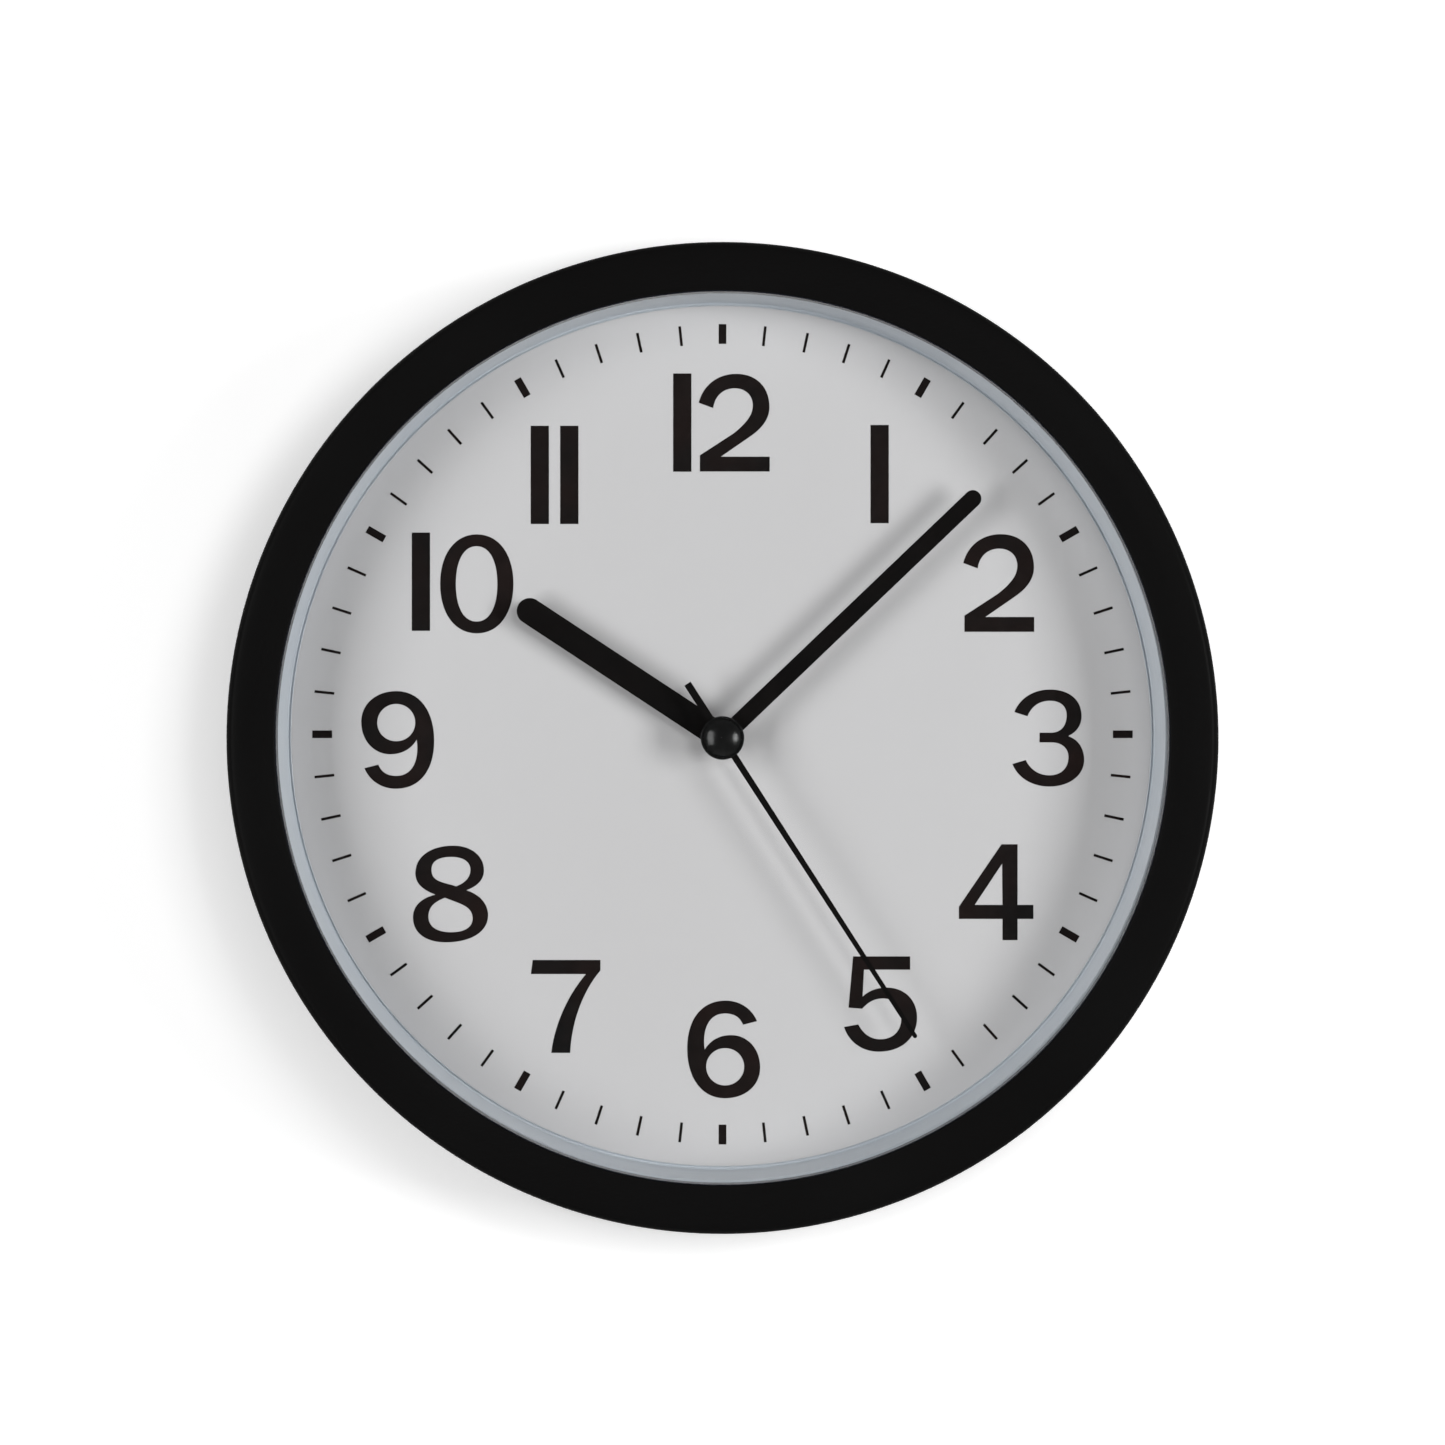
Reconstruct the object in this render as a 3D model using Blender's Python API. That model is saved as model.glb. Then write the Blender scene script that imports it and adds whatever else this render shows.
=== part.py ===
"""Quartz wall clock, 250 mm across: frame, lens, dial, hands, rear case and a geared battery movement.

The dial faces -Y, 12 o'clock is at +Z, and the hands turn about the Y axis through the origin. Every size
below is in millimetres, and the helpers convert to metres. A depth is a Y value: negative is nearer the
viewer, and the wall is at WALL_Y. Run it with: blender --background --python part.py
"""

import math

import bmesh
import bpy

MM = 0.001
TURN = 2 * math.pi

# Turned pieces: facets round the large rings, the small pieces and the fine arbors.
LARGE_FACETS = 60
SMALL_FACETS = 32
FINE_FACETS = 12
GAP = 0.3

# Frame, lens, dial
WALL_Y = 20.0
FRAME_RADIUS = 125.0
FRAME_CREST_Y = -20.0
FRAME_CREST_RADIUS = 118.0
FRAME_DOME = 20.0
FRAME_CORNER = 2.5
FRAME_CORNER_Y = -16.9
FRAME_ROOF_Y = -16.4
FRAME_DRAFT = 0.8
FRAME_WALL = 2.4
LIP_RADIUS = 112.4
LENS_RADIUS = 116.2
LENS_Y = (-14.5, -12.5)
LENS_PLAY = 0.5
RING_RADIUS = 108.6
RING_STEP_Y = (-1.5, -1.8)
RING_LEDGE = 1.1
RING_FLANGE = 1.3
DIAL_THICKNESS = 0.5
DIAL_HOLE = 4.3

# Rear case
PLATE_Y = (0.8, 2.8)
PLATE_RADIUS = 121.5
SCREW_CIRCLE = 119.0
SCREW_ANGLES = (45, 135, 225, 315)
SCREW_BOSS_RADIUS = 2.5
SCREW_RADIUS = 1.0
SCREW_HOLE = 1.5
SCREW_PILOT = 1.3
SCREW_HEAD = 2.4
SCREW_TIP_Y = -6.5
PILOT_END_Y = -8.0
RIB_RADII = (99.0, 101.0)
RIB_Y = 7.0
SPOKE_HALF = 0.9
SPOKE_OUTER = 100.0
SPOKES = ((60, 33.0), (120, 33.0), (180, 29.3), (240, 33.0), (300, 33.0))
ROOT = 0.4
POCKET_PLAY = 0.4
POCKET_WALL = 1.8
POCKET_Y = 8.0
CLIP_HALF = 5.0
CLIP_Y = 12.0
KEYHOLE_Z = 82.0
KEYHOLE_RADIUS = 4.5
KEYHOLE_SLOT = 4.6
KEYHOLE_TOP_Z = 95.0
TOWER_X = 13.0
TOWER_Z = (74.0, 106.0)
TOWER_Y = 18.8
TOWER_WALL = 2.0

# Hands: angles are degrees clockwise from 12 o'clock. A hub has an outer radius and a hole radius.
HOUR_ANGLE = -56.65
HOUR_LENGTH = 61.5
HOUR_HALF = 3.3
HOUR_HUB = (4.6, 2.8)
HOUR_HAND_Y = (-4.5, -4.0)
MINUTE_ANGLE = 46.29
MINUTE_LENGTH = 89.5
MINUTE_HALF = 2.17
MINUTE_HUB = (4.2, 1.85)
MINUTE_HAND_Y = (-6.6, -6.1)
SECOND_ANGLE = 147.14
SECOND_LENGTH = 90.0
SECOND_HALVES = (0.88, 0.52)
SECOND_TAIL_LENGTH = 16.3
SECOND_TAIL_HALF = 0.95
SECOND_HUB = (2.6, 1.35)
SECOND_HAND_Y = (-8.7, -8.3)
COLLET_RADII = (0.8, 1.05)
COLLET_Y = (-9.2, -7.2)
CAP_RADIUS = 5.5
CAP_RIM = 0.6
CAP_DOME = (4.9, 1.5)
CAP_SOCKET = (1.4, 0.5)

# Movement housing
BASE_HALF = 28.0
BASE_Y = (3.1, 10.0)
COVER_HALF = 27.2
COVER_Y = (10.3, 18.9)
BASE_WALL = 1.2
COVER_WALL = 1.2
FRONT_WALL = 1.0
CORNER = 3.0
POST_RADIUS = 1.5
PILLAR_RADIUS = 1.2
PIVOT_HOLE = 0.65
KNOB_WELL = (6.2, 5.2)
KNOB_WELL_DEPTH = 2.1
SHAFT_HOLE = 1.1
BAY_Z = (-26.3, -11.5)
BAY_HALF_X = 26.3
PARTITION_Z = (-11.5, -10.5)
PARTITION_HALF_X = 25.2
BOSS_RADIUS = 4.0
BOSS_FRONT_Y = -1.2
BOSS_BORE = 2.8

# Gear train: module, and depth of each layer
MOTION_MODULE = 0.5
CENTRE_MODULE = 0.25
SECONDS_MODULE = 0.22
ROTOR_MODULE = 0.2
HOUR_LAYER = (4.4, 5.4)
MINUTE_LAYER = (5.7, 6.7)
CENTRE_LAYER = (7.0, 7.8)
THIRD_LAYER = (8.1, 8.9)
SECONDS_LAYER = (9.2, 10.0)
FIFTH_LAYER = (10.3, 11.1)
BRIDGE_LAYER = (14.2, 15.2)
ARBOR_RADIUS = 0.35
ARBOR_FRONT_Y = 3.4
ARBOR_REAR_Y = 15.1
ARBOR_FACETS = 8
SECONDS_ARBOR_RADIUS = 0.5
CENTRE_TUBE = (1.55, 0.8)
HOUR_TUBE = (2.5, 1.85)
SETTING_SHAFT = 0.8
MAGNET_RADIUS = 3.0
MAGNET_REAR_Y = 13.9
TOOTH_FUSE = 0.3
ADDENDUM = 0.8
DEDENDUM = 1.15
WHEEL_TOOTH = (0.10, 0.26)
PINION_TOOTH = (0.08, 0.22)

# Tooth counts
CANNON_TEETH = 10
MINUTE_WHEEL_TEETH = 30
MINUTE_PINION_TEETH = 8
HOUR_WHEEL_TEETH = 32
CENTRE_TEETH = 64
THIRD_PINION_TEETH = 8
THIRD_WHEEL_TEETH = 60
SECONDS_PINION_TEETH = 8
SECONDS_WHEEL_TEETH = 60
FIFTH_PINION_TEETH = 10
FIFTH_WHEEL_TEETH = 50
ROTOR_TEETH = 10

# Setting knob
KNOB_MODULE = 0.5
KNOB_GROOVES = 18
KNOB_TOOTH = (0.16, 0.30)
KNOB_Y = (16.9, 18.6)


def centre_distance(module, teeth_a, teeth_b):
    return module * (teeth_a + teeth_b) / 2


def step_from(point, distance, degrees):
    """The (x, z) point at this distance from another, in a direction clockwise from 12 o'clock."""
    angle = math.radians(degrees)
    return point[0] + distance * math.sin(angle), point[1] + distance * math.cos(angle)


# The third wheel runs at one distance from the hands' axis in both of its meshes, which sets its module.
HANDS_AXIS = (0.0, 0.0)
THIRD_DISTANCE = centre_distance(CENTRE_MODULE, CENTRE_TEETH, THIRD_PINION_TEETH)
THIRD_MODULE = 2 * THIRD_DISTANCE / (THIRD_WHEEL_TEETH + SECONDS_PINION_TEETH)
THIRD_DIRECTION = 60.0
MINUTE_DIRECTION = -80.0
FIFTH_DIRECTION = -20.0
ROTOR_DIRECTION = 30.0
THIRD_AXIS = step_from(HANDS_AXIS, THIRD_DISTANCE, THIRD_DIRECTION)
MINUTE_DISTANCE = centre_distance(MOTION_MODULE, CANNON_TEETH, MINUTE_WHEEL_TEETH)
MINUTE_AXIS = step_from(HANDS_AXIS, MINUTE_DISTANCE, MINUTE_DIRECTION)
FIFTH_DISTANCE = centre_distance(SECONDS_MODULE, SECONDS_WHEEL_TEETH, FIFTH_PINION_TEETH)
FIFTH_AXIS = step_from(HANDS_AXIS, FIFTH_DISTANCE, FIFTH_DIRECTION)
ROTOR_DISTANCE = centre_distance(ROTOR_MODULE, FIFTH_WHEEL_TEETH, ROTOR_TEETH)
ROTOR_AXIS = step_from(FIFTH_AXIS, ROTOR_DISTANCE, ROTOR_DIRECTION)

# Motor and circuit
COIL_Z = 21.0
COIL_Y = 13.8
COIL_HALF = 9.3
COIL_FLANGE = 0.8
COIL_RADII = (1.6, 2.0, 3.5)
WIRE_RADII = (2.3, 3.2)
CORE_HALF = 14.5
CORE_HEIGHT = 1.2
STATOR_Y = (12.3, 13.1)
STATOR_HALF = 15.3
STATOR_Z = (8.4, 23.5)
STATOR_WINDOW = 10.9
STATOR_WINDOW_Z = (17.2, 30.0)
STATOR_HOLE = 3.5
BOARD_X = (14.0, 25.4)
BOARD_Y = (11.4, 12.4)
BOARD_Z = (-9.0, 7.5)
CHIP_X = (16.5, 21.0)
CHIP_Z = (-1.5, 3.5)
CHIP_HEIGHT = 1.2
CRYSTAL_RADIUS = 1.0
CRYSTAL_HALF = 3.0
CRYSTAL_PLACE = (23.3, -2.5)
CONTACT_X = (25.7, 26.0)
CONTACT_Y = (7.0, 16.0)
LANE_Y = (9.5, 11.1)
LANE_Z = (-10.2, -9.9)
PILLARS = ((-12.0, -6.0), (11.0, -6.0), (-8.0, 14.0), (8.7, 14.0))
POSTS = ((-23.0, -7.0), (23.0, -7.0), (-23.0, 23.0), (23.0, 23.0))
BOARD_POSTS = ((17.5, -6.0), (23.0, 4.0))

# Battery, size AA
CELL_RADIUS = 7.1
CELL_X = (-24.9, 24.2)
CELL_Y = 11.65
CELL_Z = -18.9
CELL_EDGE = 0.6
TERMINAL_RADIUS = 2.75
TERMINAL_X = (24.5, 25.4)
TERMINAL_EDGE = 0.3


# Materials -------------------------------------------------------------------------------------------


def material(name, colour, roughness, metallic=0.0, transmission=0.0):
    made = bpy.data.materials.new(name)
    made.use_nodes = True
    shader = made.node_tree.nodes["Principled BSDF"]
    shader.inputs["Base Color"].default_value = (*colour, 1.0)
    shader.inputs["Roughness"].default_value = roughness
    shader.inputs["Metallic"].default_value = metallic
    shader.inputs["Transmission Weight"].default_value = transmission
    return made


def make_materials():
    return {
        "frame": material("frame_black", (0.006, 0.006, 0.006), 0.35),
        "lens": material("clear_lens", (0.95, 0.97, 0.98), 0.02, transmission=1.0),
        "ring": material("pale_ring", (0.55, 0.60, 0.64), 0.45),
        "dial": material("dial_white", (0.75, 0.75, 0.76), 0.6),
        "hands": material("hand_black", (0.008, 0.008, 0.008), 0.4),
        "case": material("case_black", (0.015, 0.015, 0.016), 0.5),
        "housing": material("housing_black", (0.02, 0.02, 0.02), 0.45),
        "plate": material("plate_natural", (0.70, 0.69, 0.64), 0.5),
        "gear": material("gear_natural", (0.82, 0.80, 0.72), 0.45),
        "brass": material("brass", (0.72, 0.53, 0.22), 0.3, metallic=1.0),
        "steel": material("steel", (0.56, 0.56, 0.57), 0.3, metallic=1.0),
        "copper": material("copper_wire", (0.60, 0.24, 0.10), 0.35, metallic=1.0),
        "magnet": material("magnet_grey", (0.10, 0.10, 0.11), 0.5, metallic=0.5),
        "board": material("board_green", (0.02, 0.16, 0.07), 0.5),
        "chip": material("chip_black", (0.01, 0.01, 0.01), 0.4),
        "cell": material("cell_sleeve", (0.05, 0.13, 0.28), 0.35),
    }


# Mesh helpers ----------------------------------------------------------------------------------------


def remove_all_objects():
    for old in list(bpy.data.objects):
        bpy.data.objects.remove(old, do_unlink=True)


def make_object(name, bm, finish=None):
    """An object from this bmesh, shaded smooth where its facets meet at less than 30 degrees."""
    bmesh.ops.recalc_face_normals(bm, faces=bm.faces)
    mesh = bpy.data.meshes.new(name)
    bm.to_mesh(mesh)
    bm.free()
    mesh.shade_smooth()
    mesh.set_sharp_from_angle(angle=math.radians(30))
    made = bpy.data.objects.new(name, mesh)
    bpy.context.scene.collection.objects.link(made)
    if finish:
        mesh.materials.append(finish)
    return made


def arc(centre, radius, start, end, steps):
    """Points of a section on an arc: 0 degrees faces the viewer, and 90 degrees faces outwards."""
    points = []
    for step in range(steps + 1):
        angle = math.radians(start + (end - start) * step / steps)
        points.append((centre[0] + radius * math.sin(angle), centre[1] - radius * math.cos(angle)))
    return points


def turned(name, profile, facets=SMALL_FACETS, finish=None, centre=HANDS_AXIS):
    """A profile of (radius, y) points turned round a Y axis; it closes on itself or on the axis."""
    bm = bmesh.new()
    verts = [bm.verts.new((radius * MM, y * MM, 0)) for radius, y in profile]
    edges = [bm.edges.new(pair) for pair in zip(verts, verts[1:])]
    if profile[0][0] > 0:
        edges.append(bm.edges.new((verts[-1], verts[0])))
    bmesh.ops.spin(
        bm,
        geom=verts + edges,
        cent=(0, 0, 0),
        axis=(0, 1, 0),
        angle=TURN,
        steps=facets,
        use_merge=True,
    )
    bmesh.ops.remove_doubles(bm, verts=bm.verts, dist=1e-6)
    made = make_object(name, bm, finish)
    made.location = (centre[0] * MM, 0, centre[1] * MM)
    return made


def rod(name, radius, y_range, facets=FINE_FACETS, centre=HANDS_AXIS, finish=None):
    front, back = y_range
    profile = [(0, front), (radius, front), (radius, back), (0, back)]
    return turned(name, profile, facets, finish, centre)


def extruded(name, outline, y_range, finish=None, centre=HANDS_AXIS):
    """A flat outline of (x, z) points, drawn out between two depths."""
    front, back = y_range
    bm = bmesh.new()
    face = bm.faces.new([bm.verts.new((x * MM, front * MM, z * MM)) for x, z in outline])
    drawn = bmesh.ops.extrude_face_region(bm, geom=[face])
    moved = [item for item in drawn["geom"] if isinstance(item, bmesh.types.BMVert)]
    bmesh.ops.translate(bm, verts=moved, vec=(0, (back - front) * MM, 0))
    made = make_object(name, bm, finish)
    made.location = (centre[0] * MM, 0, centre[1] * MM)
    return made


def rectangle(x_range, z_range):
    (left, right), (low, high) = x_range, z_range
    return [(left, low), (right, low), (right, high), (left, high)]


def rounded_rectangle(x_range, z_range, radius, steps=4):
    """A rectangle whose corners are arcs."""
    (left, right), (low, high) = x_range, z_range
    corners = (
        (right - radius, high - radius, 0),
        (right - radius, low + radius, 90),
        (left + radius, low + radius, 180),
        (left + radius, high - radius, 270),
    )
    points = []
    for x, z, start in corners:
        for step in range(steps + 1):
            points.append(step_from((x, z), radius, start + 90 * step / steps))
    return points


def block(name, x_range, y_range, z_range, finish=None):
    return extruded(name, rectangle(x_range, z_range), y_range, finish)


def boolean(target, tool, operation):
    """Applies one Boolean to the target and removes the tool."""
    modifier = target.modifiers.new(operation, "BOOLEAN")
    modifier.operation = operation
    modifier.object = tool
    modifier.solver = "EXACT"
    bpy.context.view_layer.update()
    evaluated = target.evaluated_get(bpy.context.evaluated_depsgraph_get())
    mesh = bpy.data.meshes.new_from_object(evaluated)
    target.modifiers.clear()
    target.data = mesh
    mesh.name = target.name
    bpy.data.objects.remove(tool, do_unlink=True)


def join(target, *tools):
    for tool in tools:
        boolean(target, tool, "UNION")


def cut(target, *tools):
    for tool in tools:
        boolean(target, tool, "DIFFERENCE")


# Gears -----------------------------------------------------------------------------------------------


def gear_outline(module, teeth, tooth, phase):
    """Trapezoid teeth; tooth gives the half widths at tip and root as parts of the circular pitch."""
    tip_half, root_half = tooth
    pitch_radius = module * teeth / 2
    root, tip = pitch_radius - DEDENDUM * module, pitch_radius + ADDENDUM * module
    points = []
    for index in range(teeth):
        middle = phase + 360 * index / teeth
        for radius, share in ((root, -root_half), (tip, -tip_half), (tip, tip_half), (root, root_half)):
            points.append(step_from((0, 0), radius, middle + share * 360 / teeth))
    return points


def mesh_phase(direction, phase, teeth, other_teeth):
    """The phase of a gear whose gap takes this gear's tooth, in the direction from this gear to it."""
    offset = (direction - phase) * teeth / 360
    return direction + 180 - (0.5 - offset) * 360 / other_teeth


def gear(name, module, teeth, tooth, phase, y_range, centre, finish=None):
    return extruded(name, gear_outline(module, teeth, tooth, phase), y_range, finish, centre)


def fused(layer, next_layer):
    """A pinion's depth: from its own layer's front to just inside the wheel behind it."""
    return layer[0], next_layer[0] + TOOTH_FUSE


def arbor(front, centre):
    return rod("arbor", ARBOR_RADIUS, (front, ARBOR_REAR_Y), ARBOR_FACETS, centre)


# Frame, lens, dial and ring --------------------------------------------------------------------------


def frame_profile():
    """The bezel's section: a low dome, a tight outer corner, a slim wall, and a lip over the lens."""
    lip_y = LENS_Y[0] - GAP
    rebate = LENS_RADIUS + LENS_PLAY
    side = FRAME_RADIUS - FRAME_DRAFT
    return [
        (LIP_RADIUS + 1.1, FRAME_CREST_Y + 1.3),
        (LIP_RADIUS + 1.8, FRAME_CREST_Y + 0.65),
        *arc((FRAME_CREST_RADIUS, FRAME_CREST_Y + FRAME_DOME), FRAME_DOME, -7, 13, 3),
        *arc((FRAME_RADIUS - FRAME_CORNER, FRAME_CORNER_Y), FRAME_CORNER, 22, 90, 3),
        (side, WALL_Y),
        (side - FRAME_WALL, WALL_Y),
        (side - FRAME_WALL + 0.5, FRAME_ROOF_Y + 3.4),
        (side - FRAME_WALL - 1.3, FRAME_ROOF_Y),
        (rebate, FRAME_ROOF_Y),
        (rebate, lip_y),
        (LIP_RADIUS, lip_y),
    ]


def make_front_frame(finish):
    frame = turned("front_frame", frame_profile(), LARGE_FACETS, finish)
    boss_y = (FRAME_ROOF_Y - ROOT, PLATE_Y[0] - GAP)
    for degrees in SCREW_ANGLES:
        centre = step_from(HANDS_AXIS, SCREW_CIRCLE, degrees)
        join(frame, rod("boss", SCREW_BOSS_RADIUS, boss_y, 16, centre))
        cut(frame, rod("pilot", SCREW_PILOT, (PILOT_END_Y, PLATE_Y[0]), FINE_FACETS, centre))
    return frame


def make_lens(finish):
    return rod("lens", LENS_RADIUS, LENS_Y, LARGE_FACETS, finish=finish)


def make_dial_ring(finish):
    """The spacer that keeps the lens off the dial: a small ledge, a slanting wall and a flange."""
    top = LENS_Y[1] + GAP
    profile = [
        (RING_RADIUS, -GAP),
        (RING_RADIUS, RING_STEP_Y[0]),
        (RING_RADIUS + RING_LEDGE, RING_STEP_Y[1]),
        (LIP_RADIUS, top),
        (LENS_RADIUS, top),
        (LENS_RADIUS, top + RING_FLANGE),
        (LIP_RADIUS + 1.5, top + RING_FLANGE),
        (LIP_RADIUS - 0.8, -GAP),
    ]
    return turned("dial_ring", profile, LARGE_FACETS, finish)


def washer(name, inner, outer, y_range, facets, finish=None, centre=HANDS_AXIS):
    front, back = y_range
    profile = [(inner, front), (outer, front), (outer, back), (inner, back)]
    return turned(name, profile, facets, finish, centre)


def make_dial(finish):
    return washer("dial", DIAL_HOLE, LENS_RADIUS, (0.0, DIAL_THICKNESS), LARGE_FACETS, finish)


# Rear case -------------------------------------------------------------------------------------------


def add_pocket(case, root_y):
    """Walls round the movement, with a clip at each side that hooks over the edge of its base."""
    inner = BASE_HALF + POCKET_PLAY
    outer = inner + POCKET_WALL
    outline = rounded_rectangle((-outer, outer), (-outer, outer), CORNER + 1.0)
    void = rounded_rectangle((-inner, inner), (-inner, inner), CORNER + POCKET_PLAY)
    wall = extruded("wall", outline, (root_y, POCKET_Y))
    cut(wall, extruded("void", void, (root_y - 1, POCKET_Y + 1)))
    join(case, wall)
    clip_z = (-CLIP_HALF, CLIP_HALF)
    for side in (-1, 1):
        reach = sorted((side * inner, side * outer))
        nose = sorted((side * (COVER_HALF + GAP), side * (inner + 0.5)))
        clip = block("clip", reach, (root_y, CLIP_Y), clip_z)
        join(clip, block("nose", nose, (BASE_Y[1] + GAP, CLIP_Y), clip_z))
        join(case, clip)


def add_keyhole(case, root_y):
    """A raised box near 12 o'clock; the nail head goes in at the round hole and up behind the slot."""
    low, high = TOWER_Z
    outline = rounded_rectangle((-TOWER_X, TOWER_X), TOWER_Z, CORNER)
    join(case, extruded("tower", outline, (root_y, TOWER_Y)))
    inside = TOWER_X - TOWER_WALL
    hollow = rectangle((-inside, inside), (low + TOWER_WALL, high - TOWER_WALL))
    cut(case, extruded("hollow", hollow, (PLATE_Y[1] + GAP, TOWER_Y - TOWER_WALL)))
    through = (TOWER_Y - TOWER_WALL - 1, TOWER_Y + 1)
    half = KEYHOLE_SLOT / 2
    slot = rounded_rectangle((-half, half), (KEYHOLE_Z, KEYHOLE_TOP_Z), half - 0.01)
    cut(case, rod("round_hole", KEYHOLE_RADIUS, through, 24, (0, KEYHOLE_Z)))
    cut(case, extruded("slot", slot, through))


def make_back_case(finish):
    """The plate behind the dial, with its ring rib, spokes, movement pocket and keyhole."""
    rib_inner, rib_outer = RIB_RADII
    root_y = PLATE_Y[1] - ROOT
    profile = [
        (DIAL_HOLE, PLATE_Y[0]),
        (PLATE_RADIUS, PLATE_Y[0]),
        (PLATE_RADIUS, PLATE_Y[1]),
        (rib_outer, PLATE_Y[1]),
        (rib_outer, RIB_Y),
        (rib_inner, RIB_Y),
        (rib_inner, PLATE_Y[1]),
        (DIAL_HOLE, PLATE_Y[1]),
    ]
    case = turned("back_case", profile, LARGE_FACETS, finish)
    for degrees, inner_end in SPOKES:
        spoke = block("spoke", (-SPOKE_HALF, SPOKE_HALF), (root_y, RIB_Y - 1), (inner_end, SPOKE_OUTER))
        spoke.rotation_euler.y = math.radians(degrees)
        join(case, spoke)
    add_pocket(case, root_y)
    add_keyhole(case, root_y)
    for degrees in SCREW_ANGLES:
        centre = step_from(HANDS_AXIS, SCREW_CIRCLE, degrees)
        hole_y = (PLATE_Y[0] - 1, PLATE_Y[1] + 1)
        cut(case, rod("screw_hole", SCREW_HOLE, hole_y, FINE_FACETS, centre))
    return case


def make_case_screws(finish):
    """Pan-head screws from the rear into the frame's bosses, each with a cross recess."""
    head_y = PLATE_Y[1] + GAP
    profile = [
        (0, SCREW_TIP_Y),
        (SCREW_RADIUS / 2, SCREW_TIP_Y),
        (SCREW_RADIUS, SCREW_TIP_Y + 1.0),
        (SCREW_RADIUS, head_y),
        (SCREW_HEAD, head_y),
        (SCREW_HEAD, head_y + 0.8),
        (SCREW_HEAD - 0.9, head_y + 1.5),
        (0, head_y + 1.7),
    ]
    long_half, short_half = (-SCREW_HEAD / 2, SCREW_HEAD / 2), (-0.25, 0.25)
    recess_y = (head_y + 0.7, head_y + 3)
    for number, degrees in enumerate(SCREW_ANGLES, 1):
        screw = turned(f"case_screw_{number}", profile, FINE_FACETS, finish)
        cut(screw, block("bar", long_half, recess_y, short_half))
        cut(screw, block("bar", short_half, recess_y, long_half))
        x, z = step_from(HANDS_AXIS, SCREW_CIRCLE, degrees)
        screw.location = (x * MM, 0, z * MM)


# Hands -----------------------------------------------------------------------------------------------


def bar_outline(length, base_half, tip_half, round_tip=True):
    """A bar up the Z axis from the origin, with a round or a square end."""
    end = length - tip_half if round_tip else length
    left = [(-base_half, 0.0), (-tip_half, end)]
    tip = [step_from((0, end), tip_half, angle) for angle in range(-60, 90, 30)] if round_tip else []
    return left + tip + [(-x, z) for x, z in reversed(left)]


def add_hub(hand, hub, y_range):
    radius, hole = hub
    join(hand, rod("hub", radius, y_range, SMALL_FACETS))
    cut(hand, rod("hole", hole, (y_range[0] - 1, y_range[1] + 1), 24))


def make_cap(finish):
    """The button pressed on the second hand's collet: a thin rim, a groove and a low dome."""
    back = SECOND_HAND_Y[0] - GAP
    radius, rise = CAP_DOME
    socket, depth = CAP_SOCKET
    dome = []
    for degrees in range(0, 90, 15):
        angle = math.radians(degrees)
        dome.append((radius * math.sin(angle), back - CAP_RIM - rise * math.cos(angle)))
    profile = [
        *dome,
        (radius + 0.05, back - CAP_RIM - 0.15),
        (CAP_RADIUS, back - CAP_RIM),
        (CAP_RADIUS, back),
        (socket, back),
        (socket, back - depth),
        (0, back - depth),
    ]
    return turned("second_hand_cap", profile, SMALL_FACETS, finish)


def make_hands(finish, brass):
    hour = extruded("hour_hand", bar_outline(HOUR_LENGTH, HOUR_HALF, HOUR_HALF), HOUR_HAND_Y, finish)
    add_hub(hour, HOUR_HUB, HOUR_HAND_Y)
    hour.rotation_euler.y = math.radians(HOUR_ANGLE)
    outline = bar_outline(MINUTE_LENGTH, MINUTE_HALF, MINUTE_HALF)
    minute = extruded("minute_hand", outline, MINUTE_HAND_Y, finish)
    add_hub(minute, MINUTE_HUB, MINUTE_HAND_Y)
    minute.rotation_euler.y = math.radians(MINUTE_ANGLE)
    outline = bar_outline(SECOND_LENGTH, *SECOND_HALVES)
    second = extruded("second_hand", outline, SECOND_HAND_Y, finish)
    tail = bar_outline(SECOND_TAIL_LENGTH, SECOND_TAIL_HALF, SECOND_TAIL_HALF, round_tip=False)
    join(second, extruded("tail", [(x, -z) for x, z in tail], SECOND_HAND_Y))
    add_hub(second, SECOND_HUB, SECOND_HAND_Y)
    collet = washer("second_hand_collet", *COLLET_RADII, COLLET_Y, 24, brass)
    for piece in (second, collet, make_cap(finish)):
        piece.rotation_euler.y = math.radians(SECOND_ANGLE)


# Movement housing ------------------------------------------------------------------------------------


def make_movement_base(finish):
    """Front housing: a tray with the boss for the hands, the battery partition and posts for the plate."""
    front, back = BASE_Y
    floor = front + FRONT_WALL
    half, inner = BASE_HALF, BASE_HALF - BASE_WALL
    outline = rounded_rectangle((-half, half), (-half, half), CORNER)
    tray = rounded_rectangle((-inner, inner), (-inner, inner), CORNER - BASE_WALL)
    base = extruded("movement_base", outline, BASE_Y, finish)
    cut(base, extruded("tray", tray, (floor, back + 1)))
    partition = (-PARTITION_HALF_X, PARTITION_HALF_X)
    root_y = floor - ROOT
    join(base, block("partition", partition, (root_y, back), PARTITION_Z))
    join(base, rod("boss", BOSS_RADIUS, (BOSS_FRONT_Y, root_y), SMALL_FACETS))
    for centre in POSTS:
        join(base, rod("post", POST_RADIUS, (root_y, THIRD_LAYER[0] - GAP), FINE_FACETS, centre))
    cut(base, rod("bore", BOSS_BORE, (BOSS_FRONT_Y - 1, floor + 1), SMALL_FACETS))
    for centre in (THIRD_AXIS, MINUTE_AXIS):
        cut(base, rod("pivot_hole", PIVOT_HOLE, (front - 1, floor + 1), FINE_FACETS, centre))
    return base


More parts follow.
